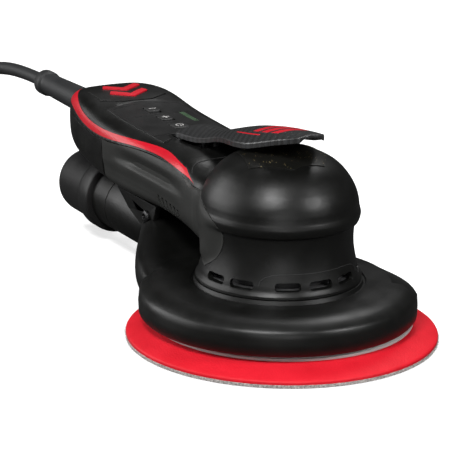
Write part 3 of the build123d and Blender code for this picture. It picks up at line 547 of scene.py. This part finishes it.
def rounded_line(points, per=6):
    """Catmull-Rom points through a polyline of (radius, height)."""
    line = []
    for number in range(len(points) - 1):
        p0 = Vector(points[max(number - 1, 0)])
        p1, p2 = Vector(points[number]), Vector(points[number + 1])
        p3 = Vector(points[min(number + 2, len(points) - 1)])
        for step in range(per):
            t = step / per
            line.append(0.5 * (2 * p1 + (p2 - p0) * t + (2 * p0 - 5 * p1 + 4 * p2 - p3) * t * t
                               + (3 * p1 - p0 - 3 * p2 + p3) * t ** 3))
    return line + [Vector(points[-1])]


def smooth_step(low, high, value):
    share = min(1.0, max(0.0, (value - low) / (high - low)))
    return share * share * (3.0 - 2.0 * share)


def closed_shell(name, outer, inner):
    """A solid sheet between two grids of points, each a list of equal rows."""
    rows, columns = len(outer), len(outer[0])
    points = [point for row in outer for point in row] + [point for row in inner for point in row]
    offset = rows * columns
    faces = []
    for row in range(rows - 1):
        for column in range(columns - 1):
            a = row * columns + column
            faces.append((a, a + 1, a + columns + 1, a + columns))
            faces.append((offset + a, offset + a + columns, offset + a + columns + 1, offset + a + 1))
    rim = list(range(columns))
    rim += [row * columns + columns - 1 for row in range(1, rows)]
    rim += [(rows - 1) * columns + column for column in range(columns - 2, -1, -1)]
    rim += [row * columns for row in range(rows - 2, 0, -1)]
    for here, after in zip(rim, rim[1:] + rim[:1]):
        faces.append((after, here, offset + here, offset + after))
    return mesh_from(name, points, faces)


# ------------------------------------------------------------------ dust tube and hose fitting
TUBE_LOW, TUBE_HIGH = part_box("dust_tube")
TUBE_Z = (TUBE_LOW[2] + TUBE_HIGH[2]) / 2.0
TUBE_R = (TUBE_HIGH[2] - TUBE_LOW[2]) / 2.0 / MM
TUBE = [(TUBE_R - 0.3, -112), (TUBE_R, -112.5), (TUBE_R, -155.2), (TUBE_R - 0.5, -155.4),
        (TUBE_R - 0.5, -155.8), (TUBE_R, -156.0), (TUBE_R, -171.4), (TUBE_R - 0.6, -172),
        (15.6, -172), (15.6, -186), (13.5, -186), (13.5, -112)]
FITTING = [(15.65, -172.3), (18.6, -172.3), (19.4, -172.6), (19.9, -173.4), (20.0, -174.4), (20.0, -181.8),
           (19.7, -183.0), (18.8, -184.0), (18.3, -185.0), (18.1, -187.0), (18.0, -209.5), (17.7, -211.6),
           (16.9, -213.4), (16.0, -214.0), (14.0, -214.0), (14.0, -186.3), (15.65, -186.3)]


def turned(name, outline, node):
    """A hollow piece turned round the dust tube's axis, its outline as (radius, x)."""
    piece = lathe(name, [(radius * MM, x * MM) for radius, x in outline], count=120)
    lay_down = Matrix(((0, 0, 1, 0), (1, 0, 0, 0), (0, 1, 0, TUBE_Z), (0, 0, 0, 1)))
    piece.data.transform(lay_down)
    return enrol(piece, SLOT_OF[node], node)


turned("dust_tube_turned", TUBE, "dust_tube")
turned("hose_fitting_turned", FITTING, "hose_fitting")


def slab(name, outline, near, far, slot):
    """A plate upright along X, its outline as (x, z), between two distances across."""
    points = [Vector((x, y, z)) * MM for y in (near, far) for x, z in outline]
    piece = mesh_from(name, points, prism_faces(len(outline)))
    face_outwards(piece.data)
    return dress(piece, slot, "housing")


WEB = [(-119.5, 42.6), (-116.0, 38.0), (-107.0, 36.0), (-100.0, 36.0), (-100.0, 42.6)]
for side, hand in SIDES:
    slab("bracket_web_" + hand, WEB, side * 18.8, side * 21.4, "housing_plastic")

# ------------------------------------------------------------------ dome over the motor
DOME = [(36.2, 58.3), (37.3, 59.0), (38.1, 60.8), (38.5, 62.8), (38.25, 64.4), (37.85, 65.8), (37.6, 67.4),
        (37.3, 69.6), (36.4, 73.0), (34.8, 76.6), (33.2, 79.2), (30.8, 82.4), (28.0, 85.2), (24.6, 87.6),
        (20.0, 89.9), (14.0, 91.9), (7.0, 93.4), (0.05, 93.95)]
DOME_WALL = 0.0022


def make_dome():
    """The dome with its soft lip, one closed shell."""
    outside = [point * MM for point in rounded_line(DOME)]
    inside = [Vector((max(0.00003, point.x - DOME_WALL * min(1.0, point.x / 0.02)),
                      min(point.y, 0.0938 - DOME_WALL))) for point in reversed(outside)]
    dome = lathe("dome", [tuple(point) for point in outside] + [tuple(point) for point in inside])
    return enrol(dome, "housing_plastic", "dome_cover")


# ------------------------------------------------------------------ soft grip with its collar
HALF_WIDTH = [(-145, 30.5), (-120, 31.0), (-95, 30.5), (-70, 30.5), (-42, 31.5), (-28, 32.6), (-14, 34.0),
              (10, 34.0)]
LOWEST = [(-145, 47.5), (-120, 44.8), (-95, 44.6), (-70, 45.2), (-42, 43.0), (-14, 38.5), (10, 38.5)]
HIGHEST = [(-145, 82.2), (-120, 80.2), (-95, 79.6), (-70, 79.8), (-42, 80.2), (-14, 80.2), (10, 80.2)]
SQUARENESS = [(-145, 5.0), (-120, 4.8), (-95, 4.5), (-70, 4.2), (-42, 3.8), (-14, 3.4), (10, 3.4)]
NARROWING = [(-145, 0.04), (-120, 0.05), (-95, 0.05), (-70, 0.04), (-42, 0.02), (-14, 0.0), (10, 0.0)]
GRIP_TOP = [(-131, 70.2), (-122, 70.5), (-100, 72.8), (-79, 74.0), (-60, 74.2), (-46, 73.2), (-38.5, 71.6),
            (-33, 69.6), (-24, 69.9), (-11, 69.0), (-4.5, 67.0), (1, 65.0), (5.5, 62.0), (8, 58.5)]
COLLAR_R = [(38, 38.6), (45, 38.2), (50, 38.1), (55, 38.4), (60, 39.0), (65, 38.9), (70, 38.3)]
COLLAR_END = [(38.5, -5.0), (41, -1.0), (45, 4.0), (50, 7.0), (55, 8.2), (60, 8.0)]
COLLAR_TIP = [(60, 8.0), (62.5, 5.5), (65, 1.0), (67, -4.5), (69, -11.0), (70.4, -22.0)]
GRIP_REAR = -130.9
GRIP_FRONT = -27.0
COLLAR_LOW = [(-27, 43.6), (-20, 41.6), (-10, 39.8), (-4, 38.6), (8, 38.0)]
COLLAR_HIGH = 70.2
HEAD_SIDE = [(36, 37.9), (41.2, 36.5), (45, 35.6), (50, 35.3), (55, 35.5), (58.4, 36.2), (60.8, 38.1),
             (62.8, 38.5), (65.4, 38.0), (69.6, 37.3), (72, 36.7)]


def recess(x, z):
    """How far in the finger recess and the shallow hollow under it go."""
    along = smooth_step(-124, -92, x) * (1.0 - smooth_step(-64, -36, x))
    scoop = smooth_step(61.4, 64.6, z) * (1.0 - smooth_step(64.6, 71.5, z))
    hollow = smooth_step(49.5, 54.0, z) * (1.0 - smooth_step(55.5, 61.0, z))
    return 2.3 * along * scoop + 0.6 * hollow * (1.0 - smooth_step(-56, -34, x))


GRIP_WALL = 2.0
COLLAR_WALL = 1.6
SIDE_SHARE = 0.42            # share of the grip's skin that is one side wall
CORNER_UP = -0.93            # where the side wall turns into the underside, from -1 to 1


def grip_side(x, z, inset=0.0):
    """How far out the grip's side wall stands at a height, hugging the head at its front."""
    low, high = curve_through(LOWEST, x) + inset, curve_through(HIGHEST, x) - inset
    half, power = curve_through(HALF_WIDTH, x) - inset, curve_through(SQUARENESS, x)
    up = (2.0 * z - low - high) / (high - low)
    across = (1.0 - min(1.0, abs(up)) ** power) ** (1.0 / power)
    y = half * across * (1.0 - curve_through(NARROWING, x) * (1.0 - up) / 2.0)
    wide = smooth_step(0.55, 0.9, y / half)
    hug = max((curve_through(COLLAR_R, z) - inset) ** 2 - x * x, 0.0) ** 0.5
    y += wide * max(0.0, hug - half) * smooth_step(-42, -18, x)
    if inset:
        return y
    return y - wide * recess(x, z)


def grip_point(x, share, inset):
    """A point of the grip's skin, share going from the right seam under the handle to the left one."""
    low, high = curve_through(LOWEST, x) + inset, curve_through(HIGHEST, x) - inset
    power = curve_through(SQUARENESS, x)
    middle, rise = (low + high) / 2.0, (high - low) / 2.0
    seam = (curve_through(GRIP_TOP, x) - middle) / rise
    corner = (1.0 - abs(CORNER_UP) ** power) ** (1.0 / power)
    edge = min(share, 1.0 - share)
    if edge <= SIDE_SHARE:
        z = middle + rise * (seam + (CORNER_UP - seam) * edge / SIDE_SHARE)
        y = grip_side(x, z, inset) * (1.0 if share > 0.5 else -1.0)
    else:
        across = corner * (share - 0.5) / (0.5 - SIDE_SHARE)
        z = middle - rise * (1.0 - abs(across) ** power) ** (1.0 / power)
        y = grip_side(x, middle + rise * CORNER_UP, inset) * across / corner
    return Vector((x, y, z)) * MM


def make_grip():
    """Rubber skin under the handle with the finger recess, as one closed shell."""
    count = 90
    xs = [GRIP_REAR + (GRIP_FRONT - GRIP_REAR) * step / count for step in range(count + 1)]
    shares = [step / 140 for step in range(141)]
    outer = [[grip_point(x, share, 0.0) for share in shares] for x in xs]
    inner = [[grip_point(x, share, GRIP_WALL) for share in shares] for x in xs]
    return closed_shell("grip_skin", outer, inner)


def make_collar(side):
    """The grip's wing round one side of the head, ending in a curved edge over the waist and the lip."""
    name = "grip_collar_left" if side > 0 else "grip_collar_right"
    rows, columns = 40, 34
    outer, inner = [], []
    for row in range(rows + 1):
        z = COLLAR_LOW[-1][1] + (COLLAR_HIGH - COLLAR_LOW[-1][1]) * row / rows
        if z <= 60:
            end = curve_through(COLLAR_END, z)
        else:
            end = curve_through(COLLAR_TIP, z)
        line_out, line_in = [], []
        for column in range(columns + 1):
            x = GRIP_FRONT + (end - GRIP_FRONT) * column / columns
            lowest = curve_through(COLLAR_LOW, x)
            height = lowest + (COLLAR_HIGH - lowest) * row / rows
            radius = curve_through(COLLAR_R, height)
            head = curve_through(HEAD_SIDE, height)
            near = smooth_step(0.0, 14.0, end - x)
            low_edge = smooth_step(0.0, 3.0, height - lowest)
            skin = head + 0.35 + (radius - head - 0.35) * near * (0.4 + 0.6 * low_edge)
            round_y = max(skin * skin - x * x, 1.0) ** 0.5
            blend = 1.0 - smooth_step(GRIP_FRONT, -10.0, x)
            y = round_y + (grip_side(x, height) - round_y) * blend
            line_out.append(Vector((x, side * y, height)) * MM)
            line_in.append(Vector((x, side * (y - COLLAR_WALL), height)) * MM)
        outer.append(line_out)
        inner.append(line_in)
    dress(closed_shell(name, outer, inner), "grip_rubber", "housing")


# ------------------------------------------------------------------ lever
LEVER_CROWN = [(-84, 85.4), (-62, 87.8), (-50, 90.6), (-40, 93.6), (-30, 96.6), (-20, 99.2), (-3, 102.4),
               (14, 104.6), (28, 105.7)]
LEVER_HALF = [(-84, 12.3), (-62, 12.6), (-48, 12.8), (-40, 13.2), (-30, 14.9), (-20, 16.9), (-10, 18.0),
              (0, 17.8), (10, 15.2), (20, 11.2), (27, 7.4), (28, 6.6)]
LEVER_CURL = 0.018


def lever_skin(x, across, lift=0.0):
    """A point on the lever's upper face, across from -1 to 1."""
    half = curve_through(LEVER_HALF, x)
    y = half * across
    return Vector((x, y, curve_through(LEVER_CROWN, x) - LEVER_CURL * y * y + lift)) * MM


def make_lever():
    """The paddle, its edges folded down a little."""
    xs = [-84 + 112 * step / 70 for step in range(71)]
    cuts = [-1 + 2 * step / 24 for step in range(25)]
    outer = [[lever_skin(x, cut) for cut in cuts] for x in xs]
    below = [-1.7 - 1.1 * smooth_step(0.55, 0.95, abs(cut)) for cut in cuts]
    inner = [[lever_skin(x, cut, drop) for cut, drop in zip(cuts, below)] for x in xs]
    lever = closed_shell("lever_blade", outer, inner)
    bevel(lever, 0.0004, 2, 50)
    return enrol(lever, "lever_weave", "lever")


def rod(name, start, end, radius, slot, body, count=32):
    """A round bar with small chamfers."""
    start, end = Vector(start) * MM, Vector(end) * MM
    length = (end - start).length
    chamfer = min(0.3 * MM, length / 4)
    piece = lathe(name, [(0.00002, 0.0), (radius * MM - chamfer, 0.0), (radius * MM, chamfer),
                         (radius * MM, length - chamfer), (radius * MM - chamfer, length), (0.00002, length)],
                  count=count)
    turn = (end - start).to_track_quat("Z", "Y").to_matrix().to_4x4()
    piece.data.transform(Matrix.Translation(start) @ turn)
    return dress(piece, slot, body)


def ribbon(name, rows, slot, body, thick=0.12):
    """A thin raised patch through rows of surface points."""
    outer = [[point + Vector((0, 0, thick * MM)) for point in row] for row in rows]
    return dress(closed_shell(name, outer, rows), slot, body)


def lever_bar(name, rear, front, left_low, left_high, slant):
    """A slanted printed bar on the lever."""
    rows = []
    for step in range(9):
        x = rear + (front - rear) * step / 8
        row = []
        for part in range(7):
            across = left_low + (left_high - left_low) * part / 6
            row.append(lever_skin(x + slant * across, across))
        rows.append(row)
    return ribbon(name, rows, "red_trim", "lever", 0.06)


# ------------------------------------------------------------------ pad
FOAM = [(62.3, 8.5), (63.0, 8.3), (66.2, 6.9), (70.6, 5.1), (74.0, 3.6), (74.8, 3.0), (75.0, 2.3),
        (74.9, 1.5)]


def make_foam():
    """The red foam with its leaning flank and thick rim."""
    rim = [point * MM for point in rounded_line(FOAM, 3)]
    profile = [(0.0002, 0.0085)] + [tuple(point) for point in rim] + [(0.0002, 0.0015)]
    foam_pad = lathe("foam_disc", profile, (0.0, 0.0025), 220)
    return enrol(foam_pad, "pad_foam_red", "pad_foam")


def make_fringe():
    """Loose fibres round the rim of the hook layer."""
    points, faces = [], []
    for angle in ring_of(1500):
        angle += random.uniform(-0.003, 0.003)
        base = Vector(((74.6 + random.uniform(-0.3, 0.3)) * cos(angle),
                       (74.6 + random.uniform(-0.3, 0.3)) * sin(angle), random.uniform(0.35, 1.4)))
        out = Vector((cos(angle + random.uniform(-0.5, 0.5)), sin(angle + random.uniform(-0.5, 0.5)),
                      random.uniform(-0.7, 0.3))).normalized()
        tip = base + out * random.uniform(0.9, 2.3)
        tip.z = max(tip.z, 0.05)
        side = out.cross(Vector((0, 0, 1))).normalized() * 0.09
        up = Vector((0, 0, 0.12))
        first = len(points)
        points += [base - side, base + side, base + up, tip]
        faces += [(first, first + 1, first + 3), (first + 1, first + 2, first + 3),
                  (first + 2, first, first + 3), (first, first + 2, first + 1)]
    middle = Vector((0, 2.5, 0))
    fringe = mesh_from("hook_fringe", [(point + middle) * MM for point in points], faces)
    return dress(fringe, "hook_grey", "pad")


# ------------------------------------------------------------------ fasteners
def pan_screw(name, place, direction, radius):
    """A pan head with a six-lobed recess, its underside at place."""
    profile = [(0.03, 0.0), (radius, 0.0), (radius, 0.25 * radius), (0.93 * radius, 0.42 * radius),
               (0.72 * radius, 0.55 * radius), (0.52 * radius, 0.58 * radius),
               (0.46 * radius, 0.5 * radius), (0.42 * radius, 0.16 * radius), (0.03, 0.14 * radius)]

    def lobes(reach, height, angle):
        in_recess = 0.2 * radius * MM < reach < 0.5 * radius * MM
        return (reach * (1.0 + 0.14 * cos(6 * angle)) if in_recess else reach), height

    piece = lathe(name, [(r * MM, z * MM) for r, z in profile], count=48, change=lobes)
    turn = Vector(direction).to_track_quat("Z", "Y").to_matrix().to_4x4()
    piece.data.transform(Matrix.Translation(Vector(place) * MM) @ turn)
    return dress(piece, "screw_steel", "housing")


# ------------------------------------------------------------------ marks on the deck
DECK = [(-189, 80.5), (-180, 85.3), (-165, 85.0), (-145, 82.2), (-120, 80.2), (-95, 79.6), (-70, 79.8),
        (-42, 80.2)]
DECK_HALF = [(-189, 17.0), (-180, 25.5), (-165, 29.0), (-145, 30.5), (-120, 31.0), (-95, 30.5), (-70, 30.5)]
DECK_SQUARENESS = 4.8
FILM = 0.5                   # the panel film stands this far over the deck


def deck_point(x, y, lift=0.0):
    """A point on the handle's top, over the panel film."""
    low, high = curve_through(LOWEST, x), curve_through(DECK, x)
    half, power = curve_through(DECK_HALF, x), DECK_SQUARENESS
    middle, rise = (low + high) / 2.0, (high - low) / 2.0
    z = middle + rise * (1.0 - (abs(y) / half) ** power) ** (1.0 / power)
    return Vector((x, y, z + FILM + lift)) * MM


def deck_line(name, corners, width, slot, body="housing", lift=0.0, thick=0.1, height=None,
              closed=False):
    """A thin line over the deck through corners of (x, y), or flat at a height where one is given."""
    path = [Vector(corner) for corner in corners]
    if closed:
        path.append(path[0])
    rows = []
    for here, after in zip(path, path[1:]):
        ahead = (after - here).normalized()
        side = Vector((-ahead.y, ahead.x)) * width / 2.0
        count = max(2, int((after - here).length / 1.5))
        for step in range(count + 1):
            middle = here + (after - here) * step / count
            row = []
            for edge in (-1, 0, 1):
                x, y = middle + side * edge
                row.append(Vector((x, y, height)) * MM if height else deck_point(x, y, lift))
            rows.append(row)
    return ribbon(name, rows, slot, body, thick)


def arc(x, y, radius, start, end, count=14):
    """Points round part of a circle, its angles in degrees."""
    return [(x + radius * cos(radians(start + (end - start) * step / count)),
             y + radius * sin(radians(start + (end - start) * step / count))) for step in range(count + 1)]


# ------------------------------------------------------------------ vents and seams
def cut_away(piece, cutter):
    """Takes the cutter's shape out of the piece and deletes the cutter."""
    modifier = piece.modifiers.new("cut", "BOOLEAN")
    modifier.operation = "DIFFERENCE"
    modifier.solver = "EXACT"
    modifier.object = cutter
    bpy.context.view_layer.update()
    graph = bpy.context.evaluated_depsgraph_get()
    piece.data = bpy.data.meshes.new_from_object(piece.evaluated_get(graph))
    piece.modifiers.clear()
    bpy.data.objects.remove(cutter)
    soften(piece.data, 32.0)


VENT_COUNT = 6
VENT_REAR = -69.0
VENT_STEP = 4.6
VENT_LEAN = 1.2


def vent_outline(number, half, spare):
    """The corners of one leaning vent in the grip's side, as (x, z)."""
    middle = VENT_REAR + VENT_STEP * number
    low, high = 47.8 - spare - 0.25 * number, 56.0 + spare - 0.35 * number
    return [(middle - half + VENT_LEAN, low), (middle + half + VENT_LEAN, low),
            (middle + half - VENT_LEAN, high), (middle - half - VENT_LEAN, high)]


def grip_slots():
    """Blocks that cut the leaning vents on each side of the grip."""
    points, faces = [], []
    for side in (-1, 1):
        for number in range(VENT_COUNT):
            first = len(points)
            outline = vent_outline(number, 1.25, 0.0)
            points += [Vector((x, side * y, z)) * MM for y in (26.0, 36.0) for x, z in outline]
            faces += [tuple(first + corner for corner in face) for face in prism_faces(len(outline))]
    cutter = mesh_from("slot_cutter", points, faces)
    face_outwards(cutter.data)
    return cutter


def make_vent_shade_plates():
    """A dark plate inside each vent in the grip's side: painted shade that makes each slot look deep and
    black.
    """
    for side, hand in SIDES:
        for number in range(VENT_COUNT):
            outline = vent_outline(number, 1.4, 0.2)
            middle = VENT_REAR + VENT_STEP * number
            depth = min(grip_side(middle, z) for _, z in outline) - 0.7
            name = "vent_shade_plate_%s_%d" % (hand, number)
            slab(name, outline, side * (depth - 1.0), side * depth, "fan_plastic")


def seam(name, points, radius):
    """A hairline seam in the housing, as a thin smooth bead along points."""
    curve = bpy.data.curves.new(name, "CURVE")
    curve.dimensions = "3D"
    curve.bevel_depth = radius * MM
    curve.bevel_resolution = 2
    spline = curve.splines.new("NURBS")
    spline.points.add(len(points) - 1)
    for control, point in zip(spline.points, points):
        control.co = (*(Vector(point) * MM), 1.0)
    spline.order_u = 3
    spline.use_endpoint_u = True
    dress(link(name, curve), "seal_rubber", "housing")


SEAM_LIFT = 0.02


def on_waist(angle, height):
    """A point on the head's side, its angle in degrees from the front."""
    radius = curve_through(HEAD_SIDE, height) + SEAM_LIFT
    return (radius * cos(radians(angle)), radius * sin(radians(angle)), height)


# ------------------------------------------------------------------ assembly of the made pieces
make_dome()
# Dark plates in the grip's vents stand in for the shade inside them.
make_vent_shade_plates()
grip = make_grip()
cut_away(grip, grip_slots())
enrol(grip, "grip_rubber", "grip_shell")
for side in (-1, 1):
    make_collar(side)
make_lever()
rod("lever_barrel", (-84, -10.4, 79.4), (-84, 10.4, 79.4), 3.5, "lever_weave", "lever")
rod("lever_post", (-62, 0, 72.6), (-62, 0, 86.2), 2.4, "lever_weave", "lever")
lever_bar("lever_line", -24.0, 0.0, -0.66, -0.62, 0.0)
for number in range(3):
    start = -8.0 + 8.0 * number
    lever_bar("lever_stripe_%d" % number, start, start + 5.2, -0.50, 0.42, 6.0)
make_foam()
make_fringe()
SCREW_AT = (-96.5, 21.7, 37.0)
for side, hand in SIDES:
    place = (SCREW_AT[0], side * SCREW_AT[1], SCREW_AT[2])
    pan_screw("bracket_screw_" + hand, place, (0, side, 0), 3.2)
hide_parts("bracket_screws")

PANEL_END = [(45, 32.0), (44.5, 36.0), (42, 39.6), (36, 41.2)]
VENT_PANEL = [(-angle, height) for angle, height in PANEL_END]
VENT_PANEL += [(angle, 41.8) for angle in range(-28, 29, 8)] + PANEL_END[::-1]
seam("vent_panel_seam", [on_waist(angle, height) for angle, height in VENT_PANEL], 0.22)
NECK = [(-31, 30.6, 76.5), (-32.5, 30.0, 79.0), (-35, 26, 80.3), (-37, 18, 80.5), (-38, 8, 80.5)]
seam("neck_seam", NECK + [(x, -y, z) for x, y, z in NECK[::-1]], 0.25)

for number, tip in enumerate((-166, -157)):
    corners = [(tip - 6, 10), (tip, 0), (tip - 6, -10)]
    deck_line("emblem_chevron_%d" % number, corners, 3.6, "red_trim", thick=0.7)
FRAME_LINE = [(-142, -19), (-146, 0), (-142, 19), (-92, 19.5), (-92, -19.5)]
deck_line("panel_border", FRAME_LINE, 0.5, "hose_plastic", closed=True)
for number, x in enumerate((-110.5, -126.5)):
    deck_line("panel_rule_%d" % number, [(x, -17), (x, 17)], 0.4, "hose_plastic")


KEYS = {"power_key": (-103.0, 80.8), "speed_up_key": (-119.0, 81.4), "speed_down_key": (-134.0, 82.5)}


def key_line(name, key, corners, width, lift=0.0):
    """A printed line on a key's top, its corners as (x, y) from the key's middle."""
    middle, top = KEYS[key]
    placed = [(middle + x, y) for x, y in corners]
    deck_line(name, placed, width, "pad_plate_grey", key, height=top + lift)


key_line("power_ring", "power_key", arc(0, 0, 1.9, 40, 320), 0.5)
key_line("power_bar", "power_key", [(0.4, 0), (2.6, 0)], 0.5)
key_line("plus_long", "speed_up_key", [(-2, 0), (2, 0)], 0.6)
key_line("plus_cross", "speed_up_key", [(0, -2), (0, 2)], 0.6, lift=0.05)
for number in range(5):
    x = -90.6 + 1.3 * number
    deck_line("lever_label_%d" % number, [(x, -8.6), (x, 8.6)], 0.7, "pad_plate_grey", lift=0.1)
key_line("minus_bar", "speed_down_key", [(0, -2), (0, 2)], 0.6)


# ------------------------------------------------------------------ floor and light
FLOOR_GLOW = 0.55           # lifts the floor to white where the camera sees it
BACKDROP = 0.85             # beyond the floor, as the camera sees it


def make_floor():
    """A plain pale sweep: flat on the ground and wide enough to fill the view."""
    floor = mesh_from("floor", [(-6, -6, -0.0004), (6, -6, -0.0004), (6, 6, -0.0004), (-6, 6, -0.0004)],
                      [(0, 1, 2, 3)])
    paint = Shader("floor_white", (0.93, 0.93, 0.93), 0.9, Specular_IOR_Level=0.1)
    seen = paint.tree.nodes.new("ShaderNodeLightPath").outputs["Is Camera Ray"]
    paint.paint(seen, (0.05, 0.05, 0.05), (0.88, 0.88, 0.88))
    paint.set("Emission Color", (1.0, 1.0, 1.0, 1.0))
    paint.link(paint.maths("MULTIPLY", seen, FLOOR_GLOW), paint.surface.inputs["Emission Strength"])
    floor.data.materials.append(paint.material)


def soft_light(name, place, aim, wide, tall, power):
    """A rectangular soft box that faces the aim point, its power in watts."""
    lamp = bpy.data.lights.new(name, "AREA")
    lamp.shape = "RECTANGLE"
    lamp.size = wide
    lamp.size_y = tall
    lamp.energy = power
    box = link(name, lamp)
    box.location = place
    box.rotation_mode = "QUATERNION"
    box.rotation_quaternion = (Vector(aim) - Vector(place)).to_track_quat("-Z", "Y")


def make_world(strength):
    """White surroundings that light the scene faintly and look pale to the camera."""
    world = bpy.data.worlds.new("studio")
    world.use_nodes = True
    world.node_tree.nodes["Background"].inputs["Color"].default_value = (1.0, 1.0, 1.0, 1.0)
    tree = world.node_tree
    seen = tree.nodes.new("ShaderNodeLightPath").outputs["Is Camera Ray"]
    span = tree.nodes.new("ShaderNodeMapRange")
    span.inputs["To Min"].default_value = strength
    span.inputs["To Max"].default_value = BACKDROP
    tree.links.new(seen, span.inputs["Value"])
    tree.links.new(span.outputs["Result"], tree.nodes["Background"].inputs["Strength"])
    bpy.context.scene.world = world


make_floor()
make_world(0.03)
HEAD_MIDDLE = (0.0, 0.0, 0.06)
soft_light("key", (0.57, -0.54, 0.80), HEAD_MIDDLE, 0.24, 0.22, 9.5)
soft_light("fill", (0.90, 0.48, 0.62), HEAD_MIDDLE, 0.24, 0.30, 6.0)
soft_light("left", (-0.70, -0.90, 0.42), (-0.09, 0.0, 0.06), 1.10, 0.70, 9.0)
soft_light("low_front", (0.62, -0.30, 0.10), (0.0, 0.0, 0.05), 0.35, 0.12, 0.5)
soft_light("top", (-0.5, 0.55, 1.3), (-0.05, 0.0, 0.05), 0.7, 0.7, 9.0)
bpy.context.scene.view_settings.view_transform = "Standard"
